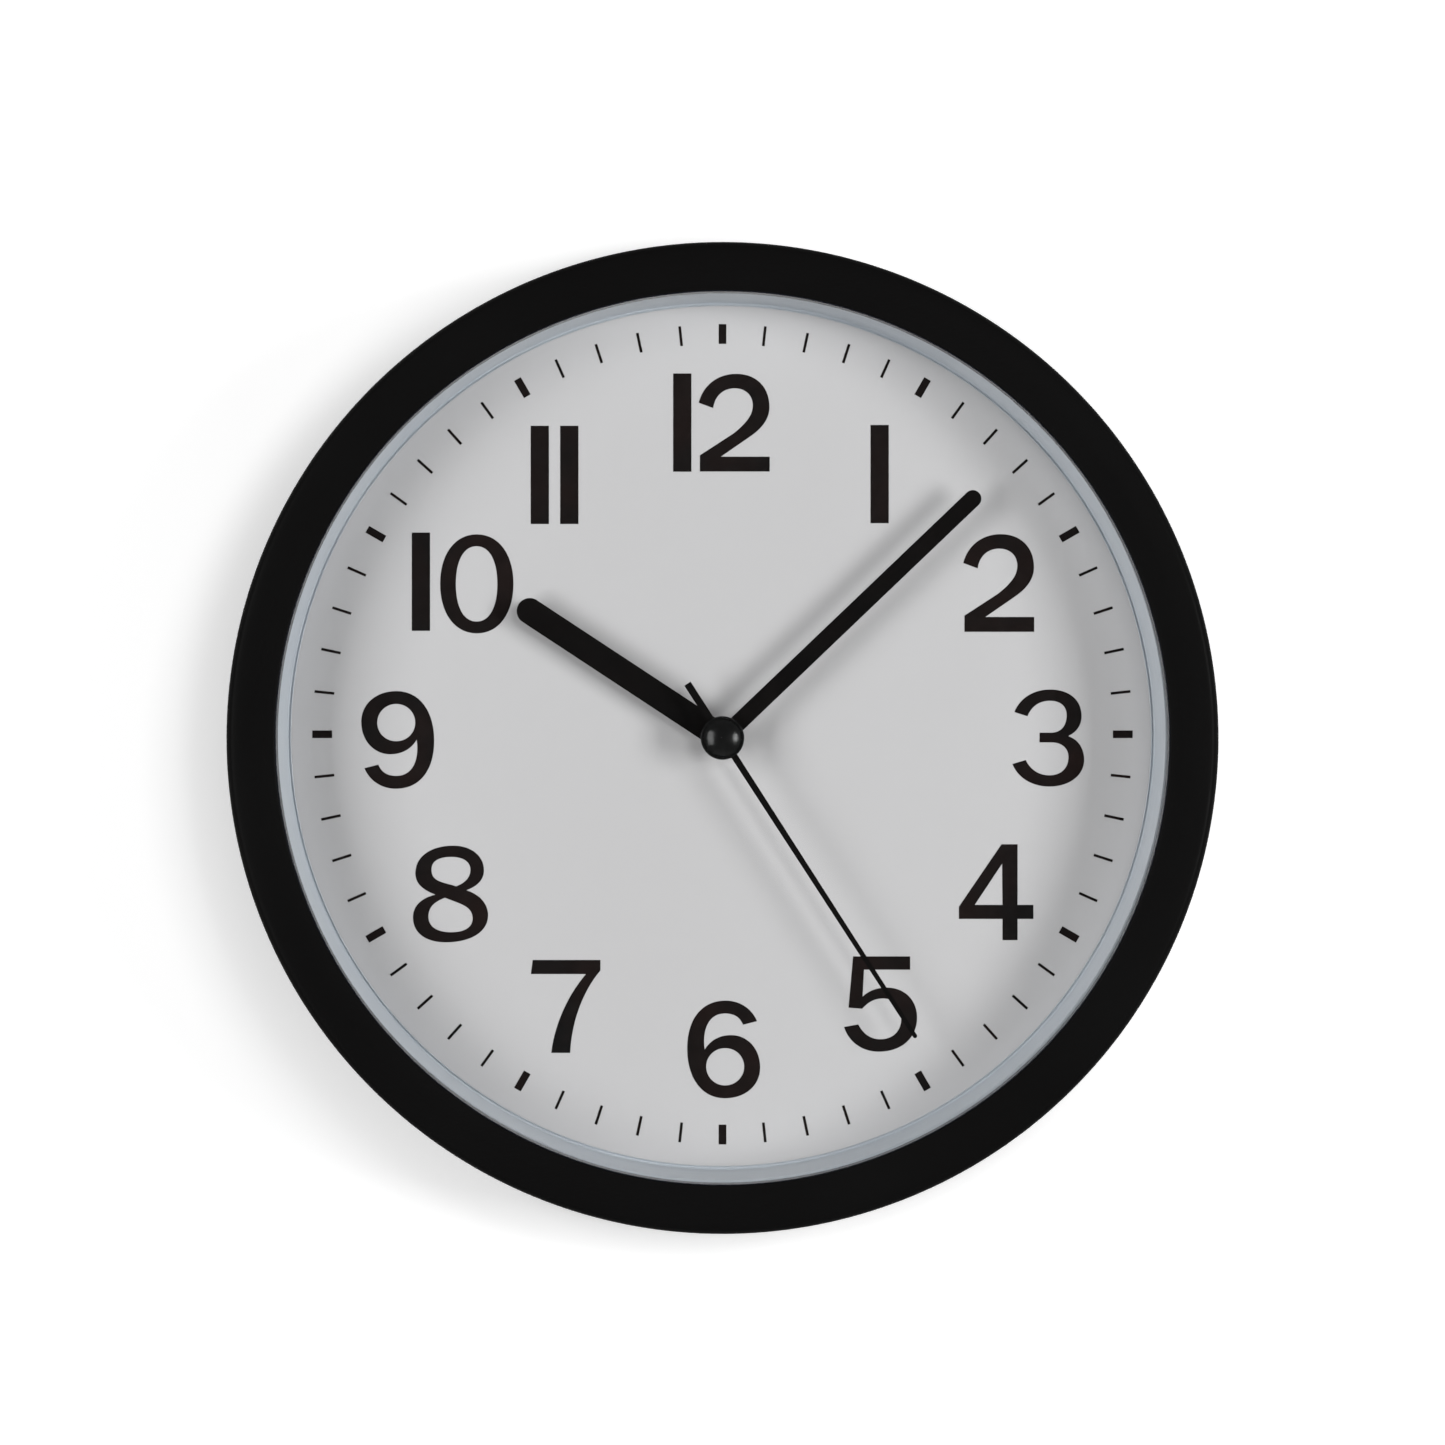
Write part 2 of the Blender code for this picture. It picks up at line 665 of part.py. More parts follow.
def make_movement_cover(finish):
    """Rear housing: closed over the train, open over the battery bay, with a well for the setting knob."""
    front, back = COVER_Y
    half, inner = COVER_HALF, COVER_HALF - COVER_WALL
    rear_wall = back - COVER_WALL
    outline = rounded_rectangle((-half, half), (-half, half), CORNER - 0.8)
    cover = extruded("movement_cover", outline, COVER_Y, finish)
    train = rectangle((-inner, inner), (PARTITION_Z[1], inner))
    cut(cover, extruded("train_space", train, (front - 1, rear_wall)))
    cut(cover, extruded("bay", rectangle((-BAY_HALF_X, BAY_HALF_X), BAY_Z), (front - 1, back + 1)))
    for side in (-1, 1):
        slot = sorted((side * PARTITION_HALF_X, side * inner))
        slot_z = (PARTITION_Z[0] - 0.1, PARTITION_Z[1] + 0.1)
        cut(cover, block("contact_slot", slot, (front - 1, rear_wall), slot_z))
    well_floor = rear_wall - KNOB_WELL_DEPTH
    well_outer, well_inner = KNOB_WELL
    join(cover, rod("well", well_outer, (well_floor, back), SMALL_FACETS, MINUTE_AXIS))
    cut(
        cover,
        rod("well_space", well_inner, (well_floor + 1, back + 1), SMALL_FACETS, MINUTE_AXIS),
        rod("shaft_hole", SHAFT_HOLE, (well_floor - 1, back), FINE_FACETS, MINUTE_AXIS),
    )
    return cover


def make_middle_plate(finish):
    """The plate behind the hand wheels, cut out round the third wheel and the hands' axis."""
    through = (THIRD_LAYER[0] - 1, THIRD_LAYER[1] + 1)
    outline = rounded_rectangle((-25.0, 25.0), (-9.5, 25.5), 2.0)
    plate = extruded("middle_plate", outline, THIRD_LAYER, finish)
    post_y = (THIRD_LAYER[0] + ROOT, BOARD_Y[0] - GAP)
    for centre in BOARD_POSTS:
        join(plate, rod("post", PILLAR_RADIUS, post_y, FINE_FACETS, centre))
    cut(
        plate,
        rod("third_space", 9.0, through, SMALL_FACETS, THIRD_AXIS),
        rod("centre_space", 3.2, through, 24),
        rod("shaft_hole", SHAFT_HOLE, through, FINE_FACETS, MINUTE_AXIS),
        rod("fifth_hole", PIVOT_HOLE, through, FINE_FACETS, FIFTH_AXIS),
        rod("rotor_hole", PIVOT_HOLE, through, FINE_FACETS, ROTOR_AXIS),
    )
    return plate


def make_train_bridge(finish):
    """The rear bearing plate, on four pillars that stand on the middle plate."""
    through = (BRIDGE_LAYER[0] - 1, BRIDGE_LAYER[1] + 1)
    outline = rounded_rectangle((-14.0, 12.6), (-8.0, 17.0), 2.5)
    bridge = extruded("train_bridge", outline, BRIDGE_LAYER, finish)
    pillar_y = (THIRD_LAYER[1] + GAP, BRIDGE_LAYER[0] + ROOT)
    for centre in PILLARS:
        join(bridge, rod("pillar", PILLAR_RADIUS, pillar_y, FINE_FACETS, centre))
    cut(bridge, rod("shaft_hole", SHAFT_HOLE, through, FINE_FACETS, MINUTE_AXIS))
    for centre in (HANDS_AXIS, THIRD_AXIS, FIFTH_AXIS, ROTOR_AXIS):
        cut(bridge, rod("pivot_hole", 0.8, through, FINE_FACETS, centre))
    return bridge


# Gear train ------------------------------------------------------------------------------------------


def wheel_with_pinion(name, centre, wheel, pinion, finish):
    """Two gears fused on one axis. Each is given as module, teeth, tooth shape, phase and layer."""
    made = gear(name, *wheel, centre, finish)
    join(made, gear("pinion", *pinion, centre))
    return made


def make_train(gears, brass, magnet):
    """Every wheel with its pinion and arbor. Each phase follows from the centre wheel's, mesh by mesh."""
    centre_phase = MINUTE_ANGLE
    third_phase = mesh_phase(THIRD_DIRECTION, centre_phase, CENTRE_TEETH, THIRD_PINION_TEETH)
    back_direction = THIRD_DIRECTION + 180
    seconds_phase = mesh_phase(back_direction, third_phase, THIRD_WHEEL_TEETH, SECONDS_PINION_TEETH)
    fifth_phase = mesh_phase(FIFTH_DIRECTION, seconds_phase, SECONDS_WHEEL_TEETH, FIFTH_PINION_TEETH)
    rotor_phase = mesh_phase(ROTOR_DIRECTION, fifth_phase, FIFTH_WHEEL_TEETH, ROTOR_TEETH)
    minute_phase = mesh_phase(MINUTE_DIRECTION, centre_phase, CANNON_TEETH, MINUTE_WHEEL_TEETH)
    hour_phase = mesh_phase(MINUTE_DIRECTION + 180, minute_phase, MINUTE_PINION_TEETH, HOUR_WHEEL_TEETH)

    centre = wheel_with_pinion(
        "centre_wheel",
        HANDS_AXIS,
        (CENTRE_MODULE, CENTRE_TEETH, WHEEL_TOOTH, centre_phase, CENTRE_LAYER),
        (MOTION_MODULE, CANNON_TEETH, PINION_TOOTH, centre_phase, fused(MINUTE_LAYER, CENTRE_LAYER)),
        brass,
    )
    tube, bore = CENTRE_TUBE
    join(centre, rod("tube", tube, (MINUTE_HAND_Y[0] - GAP, MINUTE_LAYER[0] + ROOT), 24))
    cut(centre, rod("bore", bore, (-10, 10), 16))

    third = wheel_with_pinion(
        "third_wheel",
        THIRD_AXIS,
        (THIRD_MODULE, THIRD_WHEEL_TEETH, WHEEL_TOOTH, third_phase, THIRD_LAYER),
        (CENTRE_MODULE, THIRD_PINION_TEETH, PINION_TOOTH, third_phase, fused(CENTRE_LAYER, THIRD_LAYER)),
        gears,
    )
    join(third, arbor(ARBOR_FRONT_Y, THIRD_AXIS))

    seconds = wheel_with_pinion(
        "seconds_wheel",
        HANDS_AXIS,
        (SECONDS_MODULE, SECONDS_WHEEL_TEETH, WHEEL_TOOTH, seconds_phase, SECONDS_LAYER),
        (THIRD_MODULE, SECONDS_PINION_TEETH, PINION_TOOTH, seconds_phase,
         fused(THIRD_LAYER, SECONDS_LAYER)),
        gears,
    )
    join(seconds, rod("arbor", SECONDS_ARBOR_RADIUS, (COLLET_Y[0] + 0.2, ARBOR_REAR_Y), FINE_FACETS))

    fifth = wheel_with_pinion(
        "fifth_wheel",
        FIFTH_AXIS,
        (ROTOR_MODULE, FIFTH_WHEEL_TEETH, WHEEL_TOOTH, fifth_phase, FIFTH_LAYER),
        (SECONDS_MODULE, FIFTH_PINION_TEETH, PINION_TOOTH, fifth_phase, fused(SECONDS_LAYER, FIFTH_LAYER)),
        gears,
    )
    join(fifth, arbor(THIRD_LAYER[0], FIFTH_AXIS))

    rotor = gear("rotor_pinion", ROTOR_MODULE, ROTOR_TEETH, PINION_TOOTH, rotor_phase,
                 FIFTH_LAYER, ROTOR_AXIS, gears)
    join(rotor, arbor(THIRD_LAYER[0], ROTOR_AXIS))
    magnet_y = (FIFTH_LAYER[1] + GAP, MAGNET_REAR_Y)
    washer("rotor_magnet", ARBOR_RADIUS + GAP, MAGNET_RADIUS, magnet_y, 24, magnet, ROTOR_AXIS)

    minute = wheel_with_pinion(
        "minute_wheel",
        MINUTE_AXIS,
        (MOTION_MODULE, MINUTE_WHEEL_TEETH, WHEEL_TOOTH, minute_phase, MINUTE_LAYER),
        (MOTION_MODULE, MINUTE_PINION_TEETH, PINION_TOOTH, minute_phase, fused(HOUR_LAYER, MINUTE_LAYER)),
        gears,
    )
    shaft_y = (MINUTE_LAYER[0] + 0.2, KNOB_Y[1] - 0.6)
    join(minute, rod("shaft", SETTING_SHAFT, shaft_y, FINE_FACETS, MINUTE_AXIS))
    pivot_y = (ARBOR_FRONT_Y, MINUTE_LAYER[0])
    join(minute, rod("pivot", SETTING_SHAFT / 2, pivot_y, ARBOR_FACETS, MINUTE_AXIS))

    hour = gear("hour_wheel", MOTION_MODULE, HOUR_WHEEL_TEETH, WHEEL_TOOTH, hour_phase,
                HOUR_LAYER, HANDS_AXIS, gears)
    tube, bore = HOUR_TUBE
    join(hour, rod("tube", tube, (HOUR_HAND_Y[0] - 0.2, HOUR_LAYER[0] + ROOT), SMALL_FACETS))
    cut(hour, rod("bore", bore, (-10, 10), 24))


def make_setting_knob(finish):
    """A grooved disc in the cover's well, pressed on the minute wheel's shaft."""
    knob = gear("setting_knob", KNOB_MODULE, KNOB_GROOVES, KNOB_TOOTH, 0, KNOB_Y, MINUTE_AXIS, finish)
    cut(knob, rod("bore", SETTING_SHAFT + GAP, (KNOB_Y[0] - 1, KNOB_Y[1] + 1), FINE_FACETS, MINUTE_AXIS))
    return knob


# Motor, circuit and battery --------------------------------------------------------------------------


def along_x(piece, x, y, z):
    """Lays a piece turned round the Y axis along X, with its own origin at this point."""
    piece.rotation_euler.z = math.radians(-90)
    piece.location = (x * MM, y * MM, z * MM)


def make_motor(plate, copper, steel):
    """The coil on its bobbin, the core through it, and the stator plate round the rotor."""
    middle = ROTOR_AXIS[0]
    inner, spool_radius, flange_radius = COIL_RADII
    flange = COIL_HALF - COIL_FLANGE
    spool = [
        (inner, -COIL_HALF),
        (flange_radius, -COIL_HALF),
        (flange_radius, -flange),
        (spool_radius, -flange),
        (spool_radius, flange),
        (flange_radius, flange),
        (flange_radius, COIL_HALF),
        (inner, COIL_HALF),
    ]
    wire = (GAP - flange, flange - GAP)
    along_x(turned("coil_bobbin", spool, 24, plate), middle, COIL_Y, COIL_Z)
    along_x(washer("coil_winding", *WIRE_RADII, wire, 24, copper), middle, COIL_Y, COIL_Z)
    core_x = (middle - CORE_HALF, middle + CORE_HALF)
    core_z = (COIL_Z - CORE_HEIGHT, COIL_Z + CORE_HEIGHT)
    block("coil_core", core_x, (COIL_Y - 0.4, COIL_Y + 0.4), core_z, steel)
    outline = rounded_rectangle((middle - STATOR_HALF, middle + STATOR_HALF), STATOR_Z, POST_RADIUS)
    stator = extruded("stator", outline, STATOR_Y, steel)
    through = (STATOR_Y[0] - 1, STATOR_Y[1] + 1)
    window = (middle - STATOR_WINDOW, middle + STATOR_WINDOW)
    cut(stator, block("window", window, through, STATOR_WINDOW_Z))
    cut(stator, rod("rotor_hole", STATOR_HOLE, through, 24, ROTOR_AXIS))
    for centre in PILLARS[2:]:
        cut(stator, rod("pillar_hole", PILLAR_RADIUS + GAP, through, FINE_FACETS, centre))


def make_circuit(board, chip, steel):
    block("circuit_board", BOARD_X, BOARD_Y, BOARD_Z, board)
    rear = BOARD_Y[1] + GAP
    block("timing_chip", CHIP_X, (rear, rear + CHIP_HEIGHT), CHIP_Z, chip)
    crystal = rod("quartz_crystal", CRYSTAL_RADIUS, (-CRYSTAL_HALF, CRYSTAL_HALF), 16, finish=steel)
    crystal.rotation_euler.x = math.radians(90)
    x, z = CRYSTAL_PLACE
    crystal.location = (x * MM, (rear + CRYSTAL_RADIUS) * MM, z * MM)


def make_contacts(steel):
    """Sprung strips at the two ends of the battery bay, which lead to the board."""
    plate_z = (CELL_Z - 4.0, CELL_Z + 3.0)
    inner, outer = CONTACT_X
    root_z = plate_z[1] - ROOT
    positive = block("contact_positive", CONTACT_X, CONTACT_Y, plate_z, steel)
    join(positive, block("riser", CONTACT_X, (BOARD_Y[0] - 0.7, BOARD_Y[1] + 0.6), (root_z, -2.0)))
    left = (-outer, -inner)
    negative = block("contact_negative", left, CONTACT_Y, plate_z, steel)
    join(negative, block("riser", left, LANE_Y, (root_z, LANE_Z[1])))
    join(negative, block("lane", (-outer, BOARD_POSTS[0][0] - 1.5), LANE_Y, LANE_Z))
    spring_y, spring_z = (CELL_Y - 1.25, CELL_Y + 1.25), (CELL_Z - 1.5, CELL_Z + 1.5)
    join(negative, block("spring", (-inner - 0.1, CELL_X[0] - GAP), spring_y, spring_z))


def make_battery(sleeve, steel):
    start, end = CELL_X
    edge = CELL_RADIUS - CELL_EDGE
    profile = [
        (0, start),
        (edge, start),
        (CELL_RADIUS, start + CELL_EDGE),
        (CELL_RADIUS, end - CELL_EDGE),
        (edge, end),
        (0, end),
    ]
    along_x(turned("battery", profile, SMALL_FACETS, sleeve), 0, CELL_Y, CELL_Z)
    start, end = TERMINAL_X
    button = [
        (0, start),
        (TERMINAL_RADIUS, start),
        (TERMINAL_RADIUS, end - TERMINAL_EDGE),
        (TERMINAL_RADIUS - TERMINAL_EDGE, end),
        (0, end),
    ]
    along_x(turned("battery_terminal", button, 24, steel), 0, CELL_Y, CELL_Z)


def main():
    remove_all_objects()
    look = make_materials()
    make_front_frame(look["frame"])
    make_lens(look["lens"])
    make_dial_ring(look["ring"])
    make_dial(look["dial"])
    make_back_case(look["case"])
    make_case_screws(look["steel"])
    make_hands(look["hands"], look["brass"])
    make_movement_base(look["housing"])
    make_movement_cover(look["housing"])
    make_middle_plate(look["plate"])
    make_train_bridge(look["plate"])
    make_train(look["gear"], look["brass"], look["magnet"])
    make_setting_knob(look["plate"])
    make_motor(look["plate"], look["copper"], look["steel"])
    make_circuit(look["board"], look["chip"], look["steel"])
    make_contacts(look["steel"])
    make_battery(look["cell"], look["steel"])


main()
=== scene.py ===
"""The wall clock's looks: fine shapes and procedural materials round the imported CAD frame.

Sizes are in millimetres and depths are Y values, negative towards the viewer, as in the CAD. The helpers
convert to metres. Angles are degrees clockwise from 12 o'clock as the viewer sees them. Only texture
coordinates, the stage, the lights and the camera are in metres.
"""

import math

import bmesh
import bpy
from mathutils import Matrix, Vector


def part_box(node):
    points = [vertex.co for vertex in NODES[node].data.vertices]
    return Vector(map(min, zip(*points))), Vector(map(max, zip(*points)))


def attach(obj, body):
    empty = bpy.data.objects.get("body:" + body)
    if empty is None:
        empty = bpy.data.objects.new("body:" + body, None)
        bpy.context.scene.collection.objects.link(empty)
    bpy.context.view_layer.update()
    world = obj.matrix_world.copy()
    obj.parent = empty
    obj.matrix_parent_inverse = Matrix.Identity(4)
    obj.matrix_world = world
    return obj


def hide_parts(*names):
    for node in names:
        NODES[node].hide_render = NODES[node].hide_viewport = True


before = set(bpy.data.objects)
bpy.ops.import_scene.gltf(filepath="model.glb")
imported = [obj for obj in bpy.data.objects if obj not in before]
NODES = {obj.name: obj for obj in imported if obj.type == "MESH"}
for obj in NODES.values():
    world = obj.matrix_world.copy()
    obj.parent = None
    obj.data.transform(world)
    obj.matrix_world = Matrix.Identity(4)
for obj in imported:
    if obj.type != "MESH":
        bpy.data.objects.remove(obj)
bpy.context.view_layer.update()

MM = 0.001
TURN = 2 * math.pi
MERGE_DISTANCE = 1e-6
RINGS = 288
ROUNDS = 96
BOSS_ROUNDS = 32


def node_mm(node):
    """Lowest and highest corners of a CAD node, in millimetres."""
    low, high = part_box(node)
    return [value / MM for value in low], [value / MM for value in high]


# Driving sizes, read from the frame -------------------------------------------------------------------

FRAME_LOW, FRAME_HIGH = node_mm("front_frame")
FRAME_RADIUS = FRAME_HIGH[0]
CREST_Y = FRAME_LOW[1]
WALL_Y = FRAME_HIGH[1]
LENS_LOW, LENS_HIGH = node_mm("lens")
LENS_RADIUS = LENS_HIGH[0]
DIAL_Y = node_mm("dial")[0][1]
RING_LOW, RING_HIGH = node_mm("dial_ring")
CAP_LOW, CAP_HIGH = node_mm("second_hand_cap")
GAP = 0.3

# Frame section. A DROP is a depth behind the crest. An INSET and a RIM size go inwards from the outer
# radius.
CREST_RADIUS = 118.0
DOME_RADIUS = 20.0
CORNER_RADIUS = 2.5
CORNER_Y = CREST_Y + 3.1
LIP_RADIUS = 112.05
LIP_SLOPE = 0.45
LIP_DROP = 1.4
LIP_ROUND = 1.0
LIP_ROUND_DROP = 1.6
LIP_EDGE = 0.2
# How far past the lip the glossier, blue-tinted material reaches; its tint is a painted reflection of the
# ring.
LIP_GLOSS_AND_TINT_REACH = 0.3
REBATE_PLAY = 0.5
REBATE_DROP = 3.6
INNER_CORNER_INSET = 4.5
SIDE_DROP = 7.0
SIDE_INSET = 2.7
RIM_OUTER = 1.2
RIM_INNER = 2.9
RIM_CHAMFER = 0.4
RIM_INNER_CHAMFER = 0.3

# Edges: the lens's rounding, and the bevels of the hands, the knob and the moulded parts
LENS_EDGE = 0.3
HAND_BEVEL = 0.12
KNOB_BEVEL = 0.12
MOULD_BEVEL = 0.25

# Screw bosses: radii, and depths of the rear end, of the bore's end and of the root
BOSS_RADIUS = 2.5
BOSS_BORE = 1.3
BOSS_BACK = 0.5
BOSS_BORE_END = -8.0
BOSS_ROOT = -16.6

# Dial ring: it sits off the middle (x, z), and its wall has fine steps
RING_SHIFT = (-0.35, 0.5)
RING_FOOT = 108.5
RING_FOOT_RISE = 0.55
RING_FOOT_CORNER = (0.15, 0.1)
RING_GROOVE_WIDTH = 0.3
RING_GROOVE_RISE = 0.05
RING_WALL = 109.4
RING_STEPS = 5
RING_RELIEF = 0.66
RING_FLANGE = 1.3
RING_FLANGE_REACH = 1.5
RING_BACK_INSET = 0.8

# Cap over the hub: the dome's radius and where it starts, the rim's height and the socket behind
CAP_DOME = 4.85
CAP_DOME_BACK = 0.2
CAP_RIM_HEIGHT = 0.55
CAP_SOCKET_RADIUS = 1.4
CAP_SOCKET_DEPTH = 0.5

# Print on the dial. The sheet sits a little high in the frame, and so does all of its print.
PRINT_Z = 0.93
PRINT_DEPTH = 0.04
MINUTES = 60
TICK_OUTER = 103.5
TICK_INNER = 98.5
HOUR_TICK = 1.92
MINUTE_TICK = 0.68
BAR_WIDTH = 4.6
BAR_HEIGHT = 24.8

# Hands: rest angle, length, half widths at hub and tip; then the radii of the hub and of its hole. The tail
# has a length and a half width.
HOUR_HAND = (-56.65, 61.5, 3.3, 3.3)
HOUR_HUB = (4.6, 2.8)
MINUTE_HAND = (46.29, 89.5, 2.17, 2.17)
MINUTE_HUB = (4.2, 1.85)
SECOND_HAND = (147.14, 90.0, 0.86, 0.55)
SECOND_HUB = (2.6, 1.35)
SECOND_TAIL = (16.3, 0.95)
TIP_STEPS = 30
HUB_STEPS = 48
HALF_HUB_STEPS = 20

# Battery: depths of the recesses at its two ends, how far inside the can's radius their edges lie, and the
# radii of the rolled shoulders
CELL_RECESS = 0.3
CELL_RECESS_EDGE = 1.8
CELL_FLAT_EDGE = 1.5
CELL_START_ROUND = 0.9
CELL_END_ROUND = 1.1
CELL_WASHER = 0.4
CELL_WASHER_EDGE = 1.9
CELL_SHOULDER = (1.6, 0.05)

# View, in metres
VIEW_WIDTH = 0.3641
VIEW_DISTANCE = 12.0
VIEW_CENTRE_Z = 0.0039
SENSOR = 36.0
CLIP_END = 50

# Stage, in metres: the wall's half width and height, and where the floor lies and begins
STAGE_HALF = 2.5
FLOOR_Z = -2.0
FLOOR_NEAR = -3.5

# Stage glow, a painted light that only the camera sees: it rises from left to right across the clock, and
# rises again past the rim, so the wall is darker to the clock's left and round its rim, a painted shadow of
# the clock
GLOW_HALF_WIDTH = 0.12
GLOW_RIM = (0.127, 0.140)
GLOW_RIM_GAIN = 0.12

# The world's strength, as a lamp and as the camera sees it
WORLD_LIGHT = 0.012
WORLD_SEEN = 0.62

# Lamps: name, side in degrees from the front, height, distance, size, power and whether gloss mirrors it
LAMPS = (
    ("softbox_right", 55, 0.0, 1.8, (0.50, 0.9), 21.4, True),
    ("softbox_left", -50, 0.0, 1.8, (0.80, 1.6), 23.3, True),
    ("front_right", 18, 0.4, 2.0, (0.65, 0.6), 8.8, False),
    ("rear_left", -163, 0.5, 1.6, (0.9, 0.9), 18, True),
    ("rear_right", 158, 0.2, 1.6, (0.9, 0.9), 10, True),
)


# Mesh helpers -----------------------------------------------------------------------------------------


def polar(radius, degrees, centre=(0.0, 0.0)):
    """The (x, z) point at this angle from 12 o'clock."""
    angle = math.radians(degrees)
    return centre[0] + radius * math.sin(angle), centre[1] + radius * math.cos(angle)


def arc(centre, radius, start, end, steps):
    """Points on an arc in a section; angles are degrees from the forward direction (-Y) towards the rim."""
    points = []
    for step in range(steps + 1):
        angle = math.radians(start + (end - start) * step / steps)
        points.append((centre[0] + radius * math.sin(angle), centre[1] - radius * math.cos(angle)))
    return points


def spaced(start, end, steps):
    """Evenly spaced values, both ends included."""
    return [start + (end - start) * step / steps for step in range(steps + 1)]


def rotated(points, degrees):
    """Points turned clockwise round the middle, as the viewer sees them."""
    angle = math.radians(degrees)
    cos, sin = math.cos(angle), math.sin(angle)
    return [(x * cos + z * sin, -x * sin + z * cos) for x, z in points]


def add_piece(name, mesh, body, finish, replaced=None, sharp=30):
    """Links a mesh as a piece that rides on a body and its material."""
    mesh.name = name
    mesh.materials.clear()
    mesh.materials.append(finish)
    mesh.shade_smooth()
    mesh.set_sharp_from_angle(angle=math.radians(sharp))
    piece = bpy.data.objects.new(name, mesh)
    bpy.context.scene.collection.objects.link(piece)
    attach(piece, body)
    if replaced:
        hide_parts(replaced)
    return piece


def finished_mesh(bm):
    bmesh.ops.recalc_face_normals(bm, faces=bm.faces)
    mesh = bpy.data.meshes.new("mesh")
    bm.to_mesh(mesh)
    bm.free()
    return mesh


def add_turned(bm, profile, steps, centre=(0.0, 0.0)):
    """Turns a profile of (radius, y) points round a Y axis; it closes on itself or on the axis."""
    x, z = centre[0] * MM, centre[1] * MM
    verts = [bm.verts.new((x + radius * MM, y * MM, z)) for radius, y in profile]
    edges = [bm.edges.new(pair) for pair in zip(verts, verts[1:])]
    if profile[0][0] > 0:
        edges.append(bm.edges.new((verts[-1], verts[0])))
    bmesh.ops.spin(
        bm,
        geom=verts + edges,
        cent=(x, 0, z),
        axis=(0, 1, 0),
        angle=TURN,
        steps=steps,
        use_merge=True,
    )
    bmesh.ops.remove_doubles(bm, verts=bm.verts, dist=MERGE_DISTANCE)


def turned_mesh(profile, steps=ROUNDS, centre=(0.0, 0.0)):
    bm = bmesh.new()
    add_turned(bm, profile, steps, centre)
    return finished_mesh(bm)


def softened(profile, radius):
    """Rounds each corner of a closed (radius, y) section with a small arc-like curve."""
    steps, longest_share = 4, 0.45
    points = []
    count = len(profile)
    for index, corner in enumerate(profile):
        before, after = profile[index - 1], profile[(index + 1) % count]
        ends = []
        for other in (before, after):
            length = math.dist(corner, other)
            share = min(radius, longest_share * length) / length
            ends.append([corner[axis] + (other[axis] - corner[axis]) * share for axis in (0, 1)])
        for step in range(steps + 1):
            t = step / steps
            points.append(tuple(
                (1 - t) ** 2 * ends[0][axis] + 2 * t * (1 - t) * corner[axis] + t**2 * ends[1][axis]
                for axis in (0, 1)
            ))
    return points


def flat_mesh(outlines, y_range):
    """Closed (x, z) outlines, holes included, filled and drawn out between two depths."""
    front, back = y_range
    curve = bpy.data.curves.new("outline", "CURVE")
    curve.dimensions = "2D"
    curve.fill_mode = "BOTH"
    curve.extrude = (back - front) * MM / 2
    for outline in outlines:
        spline = curve.splines.new("POLY")
        spline.points.add(len(outline) - 1)
        for point, (x, z) in zip(spline.points, outline):
            point.co = (x * MM, z * MM, 0, 1)
        spline.use_cyclic_u = True
    holder = bpy.data.objects.new("outline", curve)
    bpy.context.scene.collection.objects.link(holder)
    bpy.context.view_layer.update()
    mesh = bpy.data.meshes.new_from_object(holder.evaluated_get(bpy.context.evaluated_depsgraph_get()))
    bpy.data.objects.remove(holder)
    bpy.data.curves.remove(curve)
    bm = bmesh.new()
    bm.from_mesh(mesh)
    bpy.data.meshes.remove(mesh)
    bmesh.ops.remove_doubles(bm, verts=bm.verts, dist=MERGE_DISTANCE)
    middle = (front + back) * MM / 2
    for vert in bm.verts:
        x, z, depth = vert.co
        vert.co = (x, middle - depth, z)
    return finished_mesh(bm)


def bevel(piece, width, segments=3):
    modifier = piece.modifiers.new("edges", "BEVEL")
    modifier.width = width * MM
    modifier.segments = segments
    modifier.limit_method = "ANGLE"
    modifier.angle_limit = math.radians(30)
    modifier.harden_normals = True


# Material helpers -------------------------------------------------------------------------------------


def add_node(tree, kind, **values):
    """Adds a node; each value goes to the input of that name, or else to the node's setting."""
    node = tree.nodes.new(kind)
    for key, value in values.items():
        if key in node.inputs:
            node.inputs[key].default_value = value
        else:
            setattr(node, key, value)
    return node


def add_math(tree, operation, *operands):
    """A Math node's result. Each operand is an output to link, or a number."""
    node = add_node(tree, "ShaderNodeMath", operation=operation)
    for target, operand in zip(node.inputs, operands):
        if isinstance(operand, float):
            target.default_value = operand
        else:
            tree.links.new(operand, target)
    return node.outputs[0]


def add_range(tree, source, source_ends, result_ends):
    """A clamped ramp, from one pair of ends to another."""
    node = add_node(tree, "ShaderNodeMapRange")
    keys = ("From Min", "From Max", "To Min", "To Max")
    for key, value in zip(keys, (*source_ends, *result_ends)):
        node.inputs[key].default_value = value
    tree.links.new(source, node.inputs["Value"])
    return node.outputs["Result"]


def empty_material(name):
    """A material, its tree without nodes but for the output, and the socket for its surface."""
    material = bpy.data.materials.new(name)
    material.use_nodes = True
    tree = material.node_tree
    tree.nodes.clear()
    return material, tree, add_node(tree, "ShaderNodeOutputMaterial").inputs["Surface"]


